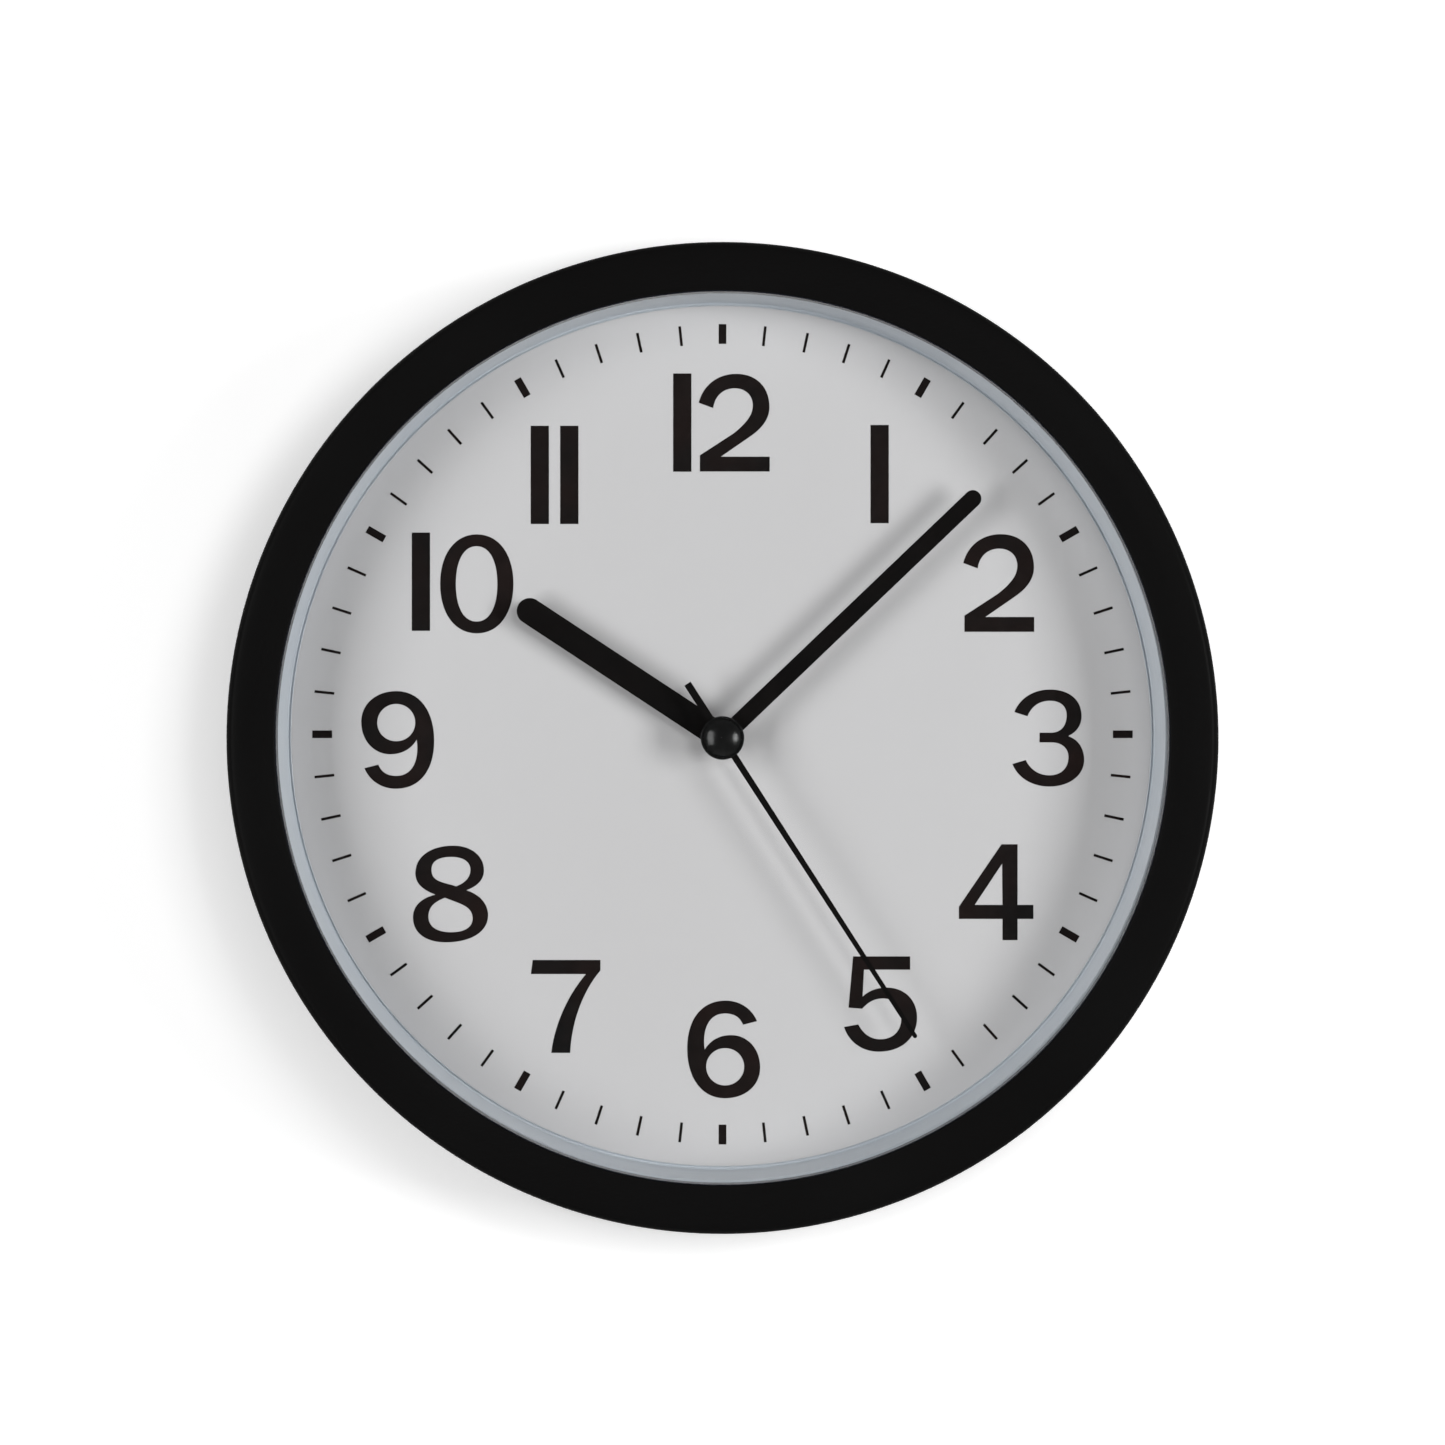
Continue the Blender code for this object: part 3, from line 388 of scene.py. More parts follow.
class Look:
    """A Principled material with a short way to add procedural detail in the piece's own coordinates."""

    # Most of a noise texture's values lie in this range.
    NOISE_ENDS = (0.3, 0.7)

    def __init__(self, name, colour, roughness, metallic=0.0):
        self.material = bpy.data.materials.new(name)
        self.material.use_nodes = True
        self.tree = self.material.node_tree
        self.shader = self.tree.nodes["Principled BSDF"]
        self.shader.inputs["Base Color"].default_value = (*colour, 1)
        self.shader.inputs["Roughness"].default_value = roughness
        self.shader.inputs["Metallic"].default_value = metallic
        self.colour = colour
        self.roughness = roughness
        self.coordinates = self.add("ShaderNodeTexCoord").outputs["Object"]

    def add(self, kind, **values):
        return add_node(self.tree, kind, **values)

    def link(self, output, target):
        self.tree.links.new(output, target)

    def noise(self, scale, detail=4.0, roughness=0.55, stretch=None):
        node = self.add("ShaderNodeTexNoise", Scale=scale, Detail=detail, Roughness=roughness)
        source = self.coordinates
        if stretch:
            mapping = self.add("ShaderNodeMapping", Scale=stretch)
            self.link(source, mapping.inputs["Vector"])
            source = mapping.outputs["Vector"]
        self.link(source, node.inputs["Vector"])
        return node.outputs["Fac"]

    def vary_roughness(self, source, amount):
        ends = (self.roughness - amount, self.roughness + amount)
        self.link(add_range(self.tree, source, self.NOISE_ENDS, ends), self.shader.inputs["Roughness"])

    def vary_colour(self, source, other, source_ends=NOISE_ENDS):
        """Goes from the base colour to another one as the source rises."""
        mix = self.add("ShaderNodeMix", data_type="RGBA")
        mix.inputs["A"].default_value = (*self.colour, 1)
        mix.inputs["B"].default_value = (*other, 1)
        self.link(add_range(self.tree, source, source_ends, (0.0, 1.0)), mix.inputs["Factor"])
        self.link(mix.outputs["Result"], self.shader.inputs["Base Color"])

    def bump(self, source, height):
        """Relief of this height in millimetres, added to any relief already there."""
        node = self.add("ShaderNodeBump", Strength=1.0, Distance=height * MM)
        self.link(source, node.inputs["Height"])
        before = self.shader.inputs["Normal"]
        if before.is_linked:
            self.link(before.links[0].from_socket, node.inputs["Normal"])
        self.link(node.outputs["Normal"], before)


def frame_plastic():
    look = Look("frame_plastic", (0.0064, 0.0063, 0.0063), 0.36)
    look.shader.inputs["Specular IOR Level"].default_value = 0.015
    look.vary_roughness(look.noise(45, 5), 0.06)
    look.vary_colour(look.noise(18, 3), (0.0054, 0.0052, 0.0052))
    look.bump(look.noise(2600, 2), 0.004)
    return look.material


def lip_gloss_painted_reflection():
    # Glossier than the bezel; the blue-grey colour and the blue specular tint are a painted reflection of
    # the pale ring.
    look = Look("lip_gloss_painted_reflection", (0.0050, 0.0060, 0.0100), 0.10)
    look.shader.inputs["Specular IOR Level"].default_value = 0.16
    look.shader.inputs["Specular Tint"].default_value = (0.85, 0.90, 1.0, 1.0)
    look.vary_roughness(look.noise(120, 4), 0.03)
    look.bump(look.noise(900, 2), 0.002)
    return look.material


def ring_plastic():
    """Pale plastic with the fine turning marks of its mould."""
    look = Look("ring_plastic", (0.572, 0.605, 0.643), 0.38)
    look.vary_roughness(look.noise(90, 4), 0.06)
    look.vary_colour(look.noise(25, 4), (0.534, 0.572, 0.621))
    grooves = look.add("ShaderNodeTexWave", Scale=420, Distortion=1.2, Detail=3.0)
    grooves.wave_type = "RINGS"
    grooves.rings_direction = "Y"
    look.link(look.coordinates, grooves.inputs["Vector"])
    look.bump(grooves.outputs["Fac"], 0.035)
    look.bump(look.noise(1500, 3), 0.006)
    return look.material


def dial_card():
    look = Look("dial_card", (0.650, 0.637, 0.643), 0.55)
    look.vary_colour(look.noise(14, 5), (0.638, 0.623, 0.628))
    look.vary_roughness(look.noise(400, 3), 0.05)
    look.bump(look.noise(900, 4), 0.002)
    return look.material


def dial_ink():
    look = Look("dial_ink", (0.0078, 0.0072, 0.0072), 0.42)
    look.shader.inputs["Specular IOR Level"].default_value = 0.15
    look.vary_colour(look.noise(60, 4), (0.0150, 0.0090, 0.0082))
    look.vary_roughness(look.noise(300, 3), 0.08)
    look.bump(look.noise(2500, 3), 0.004)
    return look.material


def hand_paint():
    look = Look("hand_paint", (0.0050, 0.0048, 0.0048), 0.36)
    look.shader.inputs["Specular IOR Level"].default_value = 0.10
    look.vary_roughness(look.noise(150, 4), 0.06)
    look.vary_colour(look.noise(70, 3), (0.0072, 0.0060, 0.0058))
    look.bump(look.noise(2400, 3), 0.004)
    return look.material


def cap_plastic():
    look = Look("cap_plastic", (0.0105, 0.0106, 0.0104), 0.21)
    look.shader.inputs["Specular IOR Level"].default_value = 0.28
    look.vary_roughness(look.noise(400, 3), 0.03)
    look.vary_colour(look.noise(300, 3), (0.0088, 0.0088, 0.0088))
    return look.material


def lens_clear():
    """A pane that lets light through unbent and mirrors more of it towards grazing angles."""
    least_share, grazing_share, falloff = 0.006, 0.6, 5.0
    material, tree, surface = empty_material("lens_clear")
    facing = add_node(tree, "ShaderNodeLayerWeight", Blend=0.5).outputs["Facing"]
    rising = add_math(tree, "POWER", facing, falloff)
    share = add_math(tree, "MULTIPLY_ADD", rising, grazing_share, least_share)
    clear = add_node(tree, "ShaderNodeBsdfTransparent", Color=(0.985, 0.99, 0.99, 1))
    shine = add_node(tree, "ShaderNodeBsdfGlossy", Roughness=0.03)
    mix = add_node(tree, "ShaderNodeMixShader")
    tree.links.new(share, mix.inputs["Fac"])
    tree.links.new(clear.outputs[0], mix.inputs[1])
    tree.links.new(shine.outputs[0], mix.inputs[2])
    tree.links.new(mix.outputs[0], surface)
    return material


def case_plastic():
    look = Look("case_plastic", (0.026, 0.026, 0.027), 0.46)
    look.vary_roughness(look.noise(60, 4), 0.07)
    look.vary_colour(look.noise(20, 3), (0.034, 0.034, 0.035))
    look.bump(look.noise(1100, 4, 0.7), 0.03)
    return look.material


def housing_plastic():
    look = Look("housing_plastic", (0.034, 0.034, 0.036), 0.38)
    look.vary_roughness(look.noise(160, 4), 0.06)
    look.vary_colour(look.noise(90, 3), (0.044, 0.044, 0.046))
    look.bump(look.noise(1800, 4, 0.65), 0.015)
    return look.material


def natural_plastic():
    look = Look("natural_plastic", (0.78, 0.76, 0.69), 0.42)
    look.shader.inputs["Subsurface Weight"].default_value = 0.15
    look.shader.inputs["Subsurface Radius"].default_value = (0.0008, 0.0007, 0.0005)
    look.vary_colour(look.noise(120, 4), (0.74, 0.71, 0.63))
    look.vary_roughness(look.noise(300, 4), 0.06)
    look.bump(look.noise(1800, 3), 0.006)
    return look.material


def turned_brass():
    look = Look("turned_brass", (0.72, 0.52, 0.22), 0.26, 1.0)
    look.vary_roughness(look.noise(500, 4), 0.08)
    look.vary_colour(look.noise(160, 4), (0.62, 0.43, 0.17))
    look.bump(look.noise(90, 3, stretch=(1, 60, 1)), 0.006)
    return look.material


def plated_steel():
    look = Look("plated_steel", (0.58, 0.58, 0.60), 0.30, 1.0)
    look.vary_roughness(look.noise(350, 5), 0.09)
    look.vary_colour(look.noise(200, 4), (0.50, 0.50, 0.51))
    look.bump(look.noise(220, 4, stretch=(1, 1, 14)), 0.004)
    return look.material


def copper_wire():
    """Enamelled copper, with a ridge for each turn along the coil's length."""
    look = Look("copper_wire", (0.62, 0.25, 0.10), 0.28, 1.0)
    wave = look.add("ShaderNodeTexWave", Scale=1400, Distortion=0.4)
    wave.bands_direction = "X"
    look.link(look.coordinates, wave.inputs["Vector"])
    look.vary_colour(look.noise(300, 3), (0.52, 0.19, 0.07))
    look.vary_roughness(look.noise(500, 3), 0.06)
    look.bump(wave.outputs["Fac"], 0.05)
    return look.material


def sintered_magnet():
    look = Look("sintered_magnet", (0.11, 0.11, 0.12), 0.48, 0.6)
    look.vary_colour(look.noise(700, 5), (0.16, 0.16, 0.17))
    look.vary_roughness(look.noise(900, 4), 0.1)
    look.bump(look.noise(1500, 5), 0.01)
    return look.material


def board_laminate():
    """Green solder resist, paler over fields of copper and darker in the net of gaps between them."""
    look = Look("board_laminate", (0.015, 0.13, 0.055), 0.38)
    tracks = look.add("ShaderNodeTexVoronoi", Scale=420, feature="DISTANCE_TO_EDGE")
    look.link(look.coordinates, tracks.inputs["Vector"])
    look.vary_colour(tracks.outputs["Distance"], (0.05, 0.24, 0.10), (0.02, 0.12))
    look.vary_roughness(look.noise(900, 3), 0.08)
    look.bump(look.noise(1600, 2), 0.01)
    return look.material


def chip_epoxy():
    look = Look("chip_epoxy", (0.012, 0.012, 0.012), 0.36)
    look.vary_roughness(look.noise(900, 4), 0.08)
    look.vary_colour(look.noise(500, 4), (0.018, 0.018, 0.018))
    look.bump(look.noise(1300, 4), 0.01)
    return look.material


def cell_sleeve():
    """A plain printed sleeve: dark blue, with a silver band towards the positive end."""
    band_edge = (0.0128, 0.0130)
    look = Look("cell_sleeve", (0.030, 0.085, 0.20), 0.24)
    split = look.add("ShaderNodeSeparateXYZ")
    look.link(look.coordinates, split.inputs["Vector"])
    look.vary_colour(split.outputs["X"], (0.55, 0.56, 0.57), band_edge)
    look.vary_roughness(look.noise(200, 4), 0.05)
    look.bump(look.noise(1200, 3), 0.004)
    return look.material


# Frame, lens, ring and dial ---------------------------------------------------------------------------


def frame_section():
    """The bezel's section: a flat dome, a tight outer corner, a drafted side and the lip over the lens."""
    dome_centre = (CREST_RADIUS, CREST_Y + DOME_RADIUS)
    corner = (FRAME_RADIUS - CORNER_RADIUS, CORNER_Y)
    lip_top = LIP_RADIUS + LIP_SLOPE
    lip_y = LENS_LOW[1] - GAP
    rebate = LENS_RADIUS + REBATE_PLAY
    return [
        (lip_top, CREST_Y + LIP_DROP),
        *arc((lip_top + LIP_ROUND, CREST_Y + LIP_ROUND_DROP), LIP_ROUND, -78, -12, 9),
        *arc(dome_centre, DOME_RADIUS, -9, 14, 16),
        *arc(corner, CORNER_RADIUS, 18, 90, 16),
        (FRAME_RADIUS - RIM_OUTER + RIM_CHAMFER, WALL_Y - RIM_CHAMFER),
        (FRAME_RADIUS - RIM_OUTER, WALL_Y),
        (FRAME_RADIUS - RIM_INNER, WALL_Y),
        (FRAME_RADIUS - RIM_INNER - RIM_INNER_CHAMFER, WALL_Y - RIM_INNER_CHAMFER),
        (FRAME_RADIUS - SIDE_INSET, CREST_Y + SIDE_DROP),
        (FRAME_RADIUS - INNER_CORNER_INSET, CREST_Y + REBATE_DROP),
        (rebate, CREST_Y + REBATE_DROP),
        (rebate, lip_y),
        (LIP_RADIUS + LIP_EDGE, lip_y),
        (LIP_RADIUS, lip_y - LIP_EDGE),
    ]


def make_frame():
    """The frame, with its screw bosses, and a glossier, blue-tinted material on the wall that faces the
    dial; its blue tint is a painted reflection of the pale ring.
    """
    boss = [
        (0, BOSS_BORE_END),
        (BOSS_BORE, BOSS_BORE_END),
        (BOSS_BORE, BOSS_BACK),
        (BOSS_RADIUS, BOSS_BACK),
        (BOSS_RADIUS, BOSS_ROOT),
        (0, BOSS_ROOT),
    ]
    bm = bmesh.new()
    add_turned(bm, frame_section(), RINGS)
    for number in range(1, 5):
        low, high = node_mm(f"case_screw_{number}")
        add_turned(bm, boss, BOSS_ROUNDS, ((low[0] + high[0]) / 2, (low[2] + high[2]) / 2))
    piece = add_piece("bezel", finished_mesh(bm), "case", frame_plastic(), "front_frame", 40)
    piece.data.materials.append(lip_gloss_painted_reflection())
    # Faces near the lip get the glossier material with the painted reflection of the ring.
    for face in piece.data.polygons:
        radius = math.hypot(face.center.x, face.center.z) / MM
        if radius < LIP_RADIUS + LIP_SLOPE + LIP_GLOSS_AND_TINT_REACH:
            face.material_index = 1


def make_lens():
    """The pane. Its section ends so close to the axis that its inner points merge there."""
    middle, front, back = 0.001, LENS_LOW[1], LENS_HIGH[1]
    pane = [(middle, front), (LENS_RADIUS, front), (LENS_RADIUS, back), (middle, back)]
    mesh = turned_mesh(softened(pane, LENS_EDGE), RINGS)
    add_piece("lens_pane", mesh, "case", lens_clear(), "lens")


def make_ring():
    """The spacer: a narrow foot and groove, a slanting wall in fine steps, and the flange under the lens."""
    outer, top, foot = RING_HIGH[0], RING_LOW[1], RING_HIGH[1]
    edge = DIAL_Y - RING_FOOT_RISE
    section = [
        (RING_FOOT, foot),
        (RING_FOOT, edge),
        (RING_FOOT + RING_FOOT_CORNER[0], edge - RING_FOOT_CORNER[1]),
        (RING_FOOT + RING_GROOVE_WIDTH, DIAL_Y - RING_GROOVE_RISE),
    ]
    wide = (LIP_RADIUS - RING_WALL) / RING_STEPS
    rise = (top - edge) / RING_STEPS
    for step in range(RING_STEPS):
        radius = RING_WALL + wide * step
        depth = edge + rise * step
        section += [(radius, depth), (radius + wide / 2, depth + rise * RING_RELIEF)]
    section += [
        (LIP_RADIUS, top),
        (outer, top),
        (outer, top + RING_FLANGE),
        (LIP_RADIUS + RING_FLANGE_REACH, top + RING_FLANGE),
        (LIP_RADIUS - RING_BACK_INSET, foot),
    ]
    mesh = turned_mesh(section, RINGS, RING_SHIFT)
    add_piece("spacer_ring", mesh, "case", ring_plastic(), "dial_ring", 20)


# Numerals: each outline starts at a point, goes on by lines of two numbers and by curves of six, and is in
# millimetres from the numeral's lower left corner.

TWO = [
    [(-0.1, 17.4), (1.0, 21.8, 4.6, 24.7, 9.4, 24.7), (14.4, 24.7, 17.75, 21.4, 17.75, 16.3),
     (17.75, 13.2, 15.6, 10.7, 12.8, 8.85), (5.5, 3.8), (17.8, 3.8), (17.8, 0.05), (0.2, 0.05),
     (0.2, 4.15), (8.6, 9.6), (11.9, 12.2, 13.55, 14.3, 13.55, 16.7),
     (13.55, 19.3, 11.7, 21.05, 8.95, 21.05), (6.0, 21.05, 3.9, 19.0, 3.55, 16.05)],
]
THREE = [
    [(0.2, 18.6), (1.4, 21.8, 4.7, 24.3, 9.2, 24.3), (13.9, 24.3, 17.15, 21.8, 17.15, 17.6),
     (17.15, 15.2, 15.9, 13.6, 13.8, 12.55), (16.4, 11.6, 17.8, 9.4, 17.8, 6.5),
     (17.8, 2.6, 14.0, -0.2, 9.05, -0.2), (4.4, -0.2, 1.0, 2.2, -0.3, 5.5), (3.05, 6.5),
     (4.3, 4.0, 6.4, 2.65, 9.05, 2.65), (12.1, 2.65, 13.85, 4.6, 13.85, 7.2),
     (13.85, 9.4, 12.3, 10.95, 9.5, 10.95), (6.55, 10.95), (6.55, 13.4), (9.5, 13.4),
     (12.0, 13.4, 13.4, 15.2, 13.4, 17.8), (13.4, 20.1, 11.8, 21.45, 9.2, 21.45),
     (6.4, 21.45, 4.5, 20.0, 3.5, 17.55)],
]
FOUR = [
    [(10.8, 24.3), (14.85, 24.3), (14.85, 9.0), (18.85, 9.0), (18.85, 5.45), (14.85, 5.45), (14.85, 0.1),
     (11.05, 0.1), (11.05, 5.45), (0.05, 5.45), (0.05, 8.55)],
    [(4.05, 9.0), (10.95, 19.4), (11.05, 9.0)],
]
FIVE = [
    [(2.1, 24.0), (16.5, 24.0), (16.5, 20.65), (4.85, 20.65), (4.5, 13.85),
     (6.1, 15.4, 8.3, 16.15, 10.6, 16.15), (15.0, 16.15, 18.25, 13.1, 18.25, 8.6),
     (18.25, 3.4, 14.3, -0.05, 8.6, -0.05), (4.2, -0.05, 1.0, 2.5, -0.2, 6.2), (3.4, 6.85),
     (4.6, 4.5, 6.5, 3.1, 9.0, 3.1), (12.2, 3.1, 14.25, 5.2, 14.25, 8.2),
     (14.25, 11.4, 12.4, 13.4, 9.65, 13.4), (7.5, 13.4, 5.8, 12.4, 4.4, 10.8), (0.95, 11.05)],
]
SIX = [
    [(17.9, 19.5), (16.6, 22.7, 13.6, 24.7, 9.95, 24.7), (3.9, 24.7, 0.3, 20.0, 0.3, 12.6),
     (0.3, 5.2, 3.9, 0.05, 9.8, 0.05), (15.0, 0.05, 18.7, 3.3, 18.7, 7.8),
     (18.7, 12.6, 15.5, 16.0, 11.4, 16.0), (8.4, 16.0, 6.0, 14.6, 4.7, 12.3),
     (4.0, 17.2, 5.6, 21.45, 9.8, 21.45), (12.2, 21.45, 13.6, 20.5, 14.4, 18.6)],
    [(9.88, 12.7), (12.5, 12.7, 14.68, 10.7, 14.68, 8.0), (14.68, 5.4, 12.5, 3.3, 9.88, 3.3),
     (7.2, 3.3, 5.08, 5.4, 5.08, 8.0), (5.08, 10.7, 7.2, 12.7, 9.88, 12.7)],
]
SEVEN = [
    [(0.65, 23.6), (17.75, 23.6), (17.75, 20.95), (13.2, 15.6, 10.5, 8.0, 10.1, 0.15), (5.35, 0.15),
     (6.1, 7.0, 9.4, 14.6, 14.1, 20.05), (0.2, 20.05)],
]
EIGHT = [
    [(10.05, 24.45), (14.6, 24.45, 17.8, 21.9, 17.8, 18.2), (17.8, 15.8, 16.1, 14.2, 13.4, 13.2),
     (16.8, 12.1, 18.85, 9.7, 18.85, 6.9), (18.85, 2.5, 14.2, 0.05, 8.2, 0.05),
     (2.9, 0.05, -0.1, 2.5, -0.1, 6.4), (-0.1, 9.2, 1.9, 11.2, 5.55, 12.1),
     (2.2, 13.3, 0.5, 15.0, 0.5, 17.5), (0.5, 22.0, 4.8, 24.45, 10.05, 24.45)],
    [(9.55, 21.6), (12.6, 21.6, 14.4, 20.4, 14.4, 18.3), (14.4, 16.4, 12.9, 14.9, 10.75, 14.2),
     (7.4, 15.3, 4.55, 15.3, 4.55, 18.4), (4.55, 20.6, 6.5, 21.6, 9.55, 21.6)],
    [(8.0, 11.3), (11.5, 9.8, 14.95, 9.3, 14.95, 6.1), (14.95, 3.7, 12.7, 2.6, 9.55, 2.6),
     (6.1, 2.6, 3.8, 3.9, 3.8, 6.5), (3.8, 9.2, 5.6, 10.4, 8.0, 11.3)],
]
ZERO = [
    [(9.25, 25.05), (14.9, 25.05, 18.5, 19.9, 18.5, 12.55), (18.5, 5.2, 14.9, 0.05, 9.25, 0.05),
     (3.6, 0.05, 0.0, 5.2, 0.0, 12.55), (0.0, 19.9, 3.6, 25.05, 9.25, 25.05)],
    [(9.2, 22.05), (12.6, 22.05, 14.45, 18.2, 14.45, 12.5), (14.45, 6.9, 12.6, 3.05, 9.2, 3.05),
     (5.8, 3.05, 3.95, 6.9, 3.95, 12.5), (3.95, 18.2, 5.8, 22.05, 9.2, 22.05)],
]
ONE = [[(0.0, 0.0), (0.0, BAR_HEIGHT), (BAR_WIDTH, BAR_HEIGHT), (BAR_WIDTH, 0.0)]]

# A nine is a six turned half round, about the middle of its own box.
SIX_WIDTH, SIX_HEIGHT = 18.95, 24.7

# Where each figure's lower left corner lies, from the middle of the print.
FIGURES = [
    (ONE, -12.45, 66.25), (TWO, -5.9, 66.25),
    (ONE, 37.35, 53.25),
    (TWO, 60.85, 25.8),
    (THREE, 73.45, -13.0),
    (FOUR, 59.6, -52.05),
    (FIVE, 30.85, -80.05),
    (SIX, -9.2, -91.9),
    (SEVEN, -48.55, -80.55),
    (EIGHT, -78.0, -52.55),
    ("nine", -91.4, -13.75),
    (ONE, -78.4, 26.1), (ZERO, -71.25, 25.4),
    (ONE, -48.4, 53.05), (ONE, -40.95, 53.05),
]
CURVE_STEPS = 14


def cubic(start, segment):
    """Points along a cubic curve, its start left out."""
    handles = [start, segment[0:2], segment[2:4], segment[4:6]]
    points = []
    for step in range(1, CURVE_STEPS + 1):
        t = step / CURVE_STEPS
        shares = ((1 - t) ** 3, 3 * t * (1 - t) ** 2, 3 * t**2 * (1 - t), t**3)
        points.append(tuple(sum(w * handle[axis] for w, handle in zip(shares, handles)) for axis in (0, 1)))
    return points


def traced(outline):
    points = [outline[0]]
    for segment in outline[1:]:
        points += [segment] if len(segment) == 2 else cubic(points[-1], segment)
    if math.dist(points[0], points[-1]) < MERGE_DISTANCE:
        points.pop()
    return points


def figure_outlines(figure):
    if figure == "nine":
        return [[(SIX_WIDTH - x, SIX_HEIGHT - z) for x, z in traced(outline)] for outline in SIX]
    return [traced(outline) for outline in figure]


def make_print():
    """Numerals and minute track, as a thin layer of ink that stands on the dial."""
    ink = dial_ink()
    layer = (DIAL_Y - PRINT_DEPTH, DIAL_Y)
    for number, (figure, left, base) in enumerate(FIGURES, 1):
        base += PRINT_Z
        outlines = [[(left + x, base + z) for x, z in outline] for outline in figure_outlines(figure)]
        add_piece(f"numeral_{number:02d}", flat_mesh(outlines, layer), "case", ink)
    ticks = []
    for minute in range(MINUTES):
        half = (MINUTE_TICK if minute % 5 else HOUR_TICK) / 2
        bar = [(-half, TICK_INNER), (-half, TICK_OUTER), (half, TICK_OUTER), (half, TICK_INNER)]
        ticks.append([(x, PRINT_Z + z) for x, z in rotated(bar, minute * 360 / MINUTES)])
    add_piece("minute_track", flat_mesh(ticks, layer), "case", ink)


# Hands ------------------------------------------------------------------------------------------------


def hand_outline(length, base_half, tip_half, hub_radius, tail):
    """A hand that points to 12: round hub, straight sides, round tip and perhaps a square counter-tail."""
    tip = [polar(tip_half, angle, (0, length - tip_half)) for angle in spaced(-90, 90, TIP_STEPS)]
    spread = math.degrees(math.asin(base_half / hub_radius))
    if not tail:
        return tip + [polar(hub_radius, angle) for angle in spaced(spread, 360 - spread, HUB_STEPS)]
    tail_length, tail_half = tail
    low = math.degrees(math.asin(tail_half / hub_radius))
    right = [polar(hub_radius, angle) for angle in spaced(spread, 180 - low, HALF_HUB_STEPS)]
    square = [(tail_half, -tail_length), (-tail_half, -tail_length)]
    left = [(-x, z) for x, z in reversed(right)]
    return tip + right + square + left


def make_hand(name, node, body, sizes, hub, finish, tail=None):
    angle, length, base_half, tip_half = sizes
    hub_radius, hole_radius = hub
    low, high = node_mm(node)
    outline = rotated(hand_outline(length, base_half, tip_half, hub_radius, tail), angle)
    hole = [polar(hole_radius, step * 360 / HUB_STEPS) for step in range(HUB_STEPS)]
    mesh = flat_mesh([outline, hole], (low[1], high[1]))
    bevel(add_piece(name, mesh, body, finish, node), HAND_BEVEL)


def make_hands():
    paint = hand_paint()
    make_hand("hour_blade", "hour_hand", "hour_works", HOUR_HAND, HOUR_HUB, paint)
    make_hand("minute_blade", "minute_hand", "minute_works", MINUTE_HAND, MINUTE_HUB, paint)
    make_hand("second_blade", "second_hand", "second_works", SECOND_HAND, SECOND_HUB, paint, SECOND_TAIL)


def make_cap():
    """The button over the hub: a low rim and a dome that rises out of a shallow groove."""
    back, front, radius = CAP_HIGH[1], CAP_LOW[1], CAP_HIGH[0]
    dome_back = back - CAP_DOME_BACK
    rise = dome_back - front
    ball = (CAP_DOME**2 + rise**2) / (2 * rise)
    dome = arc((0, front + ball), ball, 0, math.degrees(math.asin(CAP_DOME / ball)), 20)
    rim_front = back - CAP_RIM_HEIGHT
    # The groove's wall, the rounded rim, and the edge behind it
    rim = [
        (CAP_DOME + 0.1, dome_back),
        (CAP_DOME + 0.16, rim_front + 0.08),
        (CAP_DOME + 0.26, rim_front),
        (radius - 0.14, rim_front + 0.03),
        (radius, rim_front + 0.2),
        (radius, back - 0.06),
        (radius - 0.06, back),
    ]
    socket_end = back - CAP_SOCKET_DEPTH
    socket = [(CAP_SOCKET_RADIUS, back), (CAP_SOCKET_RADIUS, socket_end), (0, socket_end)]
    mesh = turned_mesh(dome + rim + socket)
    add_piece("hub_cap", mesh, "second_works", cap_plastic(), "second_hand_cap", 40)


# Rear and movement ------------------------------------------------------------------------------------


def give(finish, *names):
    for name in names:
        NODES[name].data.materials.clear()
        NODES[name].data.materials.append(finish)


def dress_cad_nodes():
    """Materials for the CAD nodes that stay in view, and softer edges for the moulded ones."""
    give(dial_card(), "dial")
    give(case_plastic(), "back_case")
    give(housing_plastic(), "movement_base", "movement_cover")
    give(natural_plastic(), "middle_plate", "train_bridge", "coil_bobbin", "rotor_pinion", "fifth_wheel",
         "seconds_wheel", "third_wheel", "minute_wheel", "hour_wheel", "setting_knob")
    give(turned_brass(), "centre_wheel", "second_hand_collet")
    give(plated_steel(), "coil_core", "stator", "quartz_crystal", "contact_positive", "contact_negative",
         "battery_terminal", *(f"case_screw_{number}" for number in range(1, 5)))
    give(copper_wire(), "coil_winding")
    give(sintered_magnet(), "rotor_magnet")
    give(board_laminate(), "circuit_board")
    give(chip_epoxy(), "timing_chip")
    for name in ("back_case", "movement_base", "movement_cover"):
        bevel(NODES[name], MOULD_BEVEL, 2)
    bevel(NODES["setting_knob"], KNOB_BEVEL, 2)


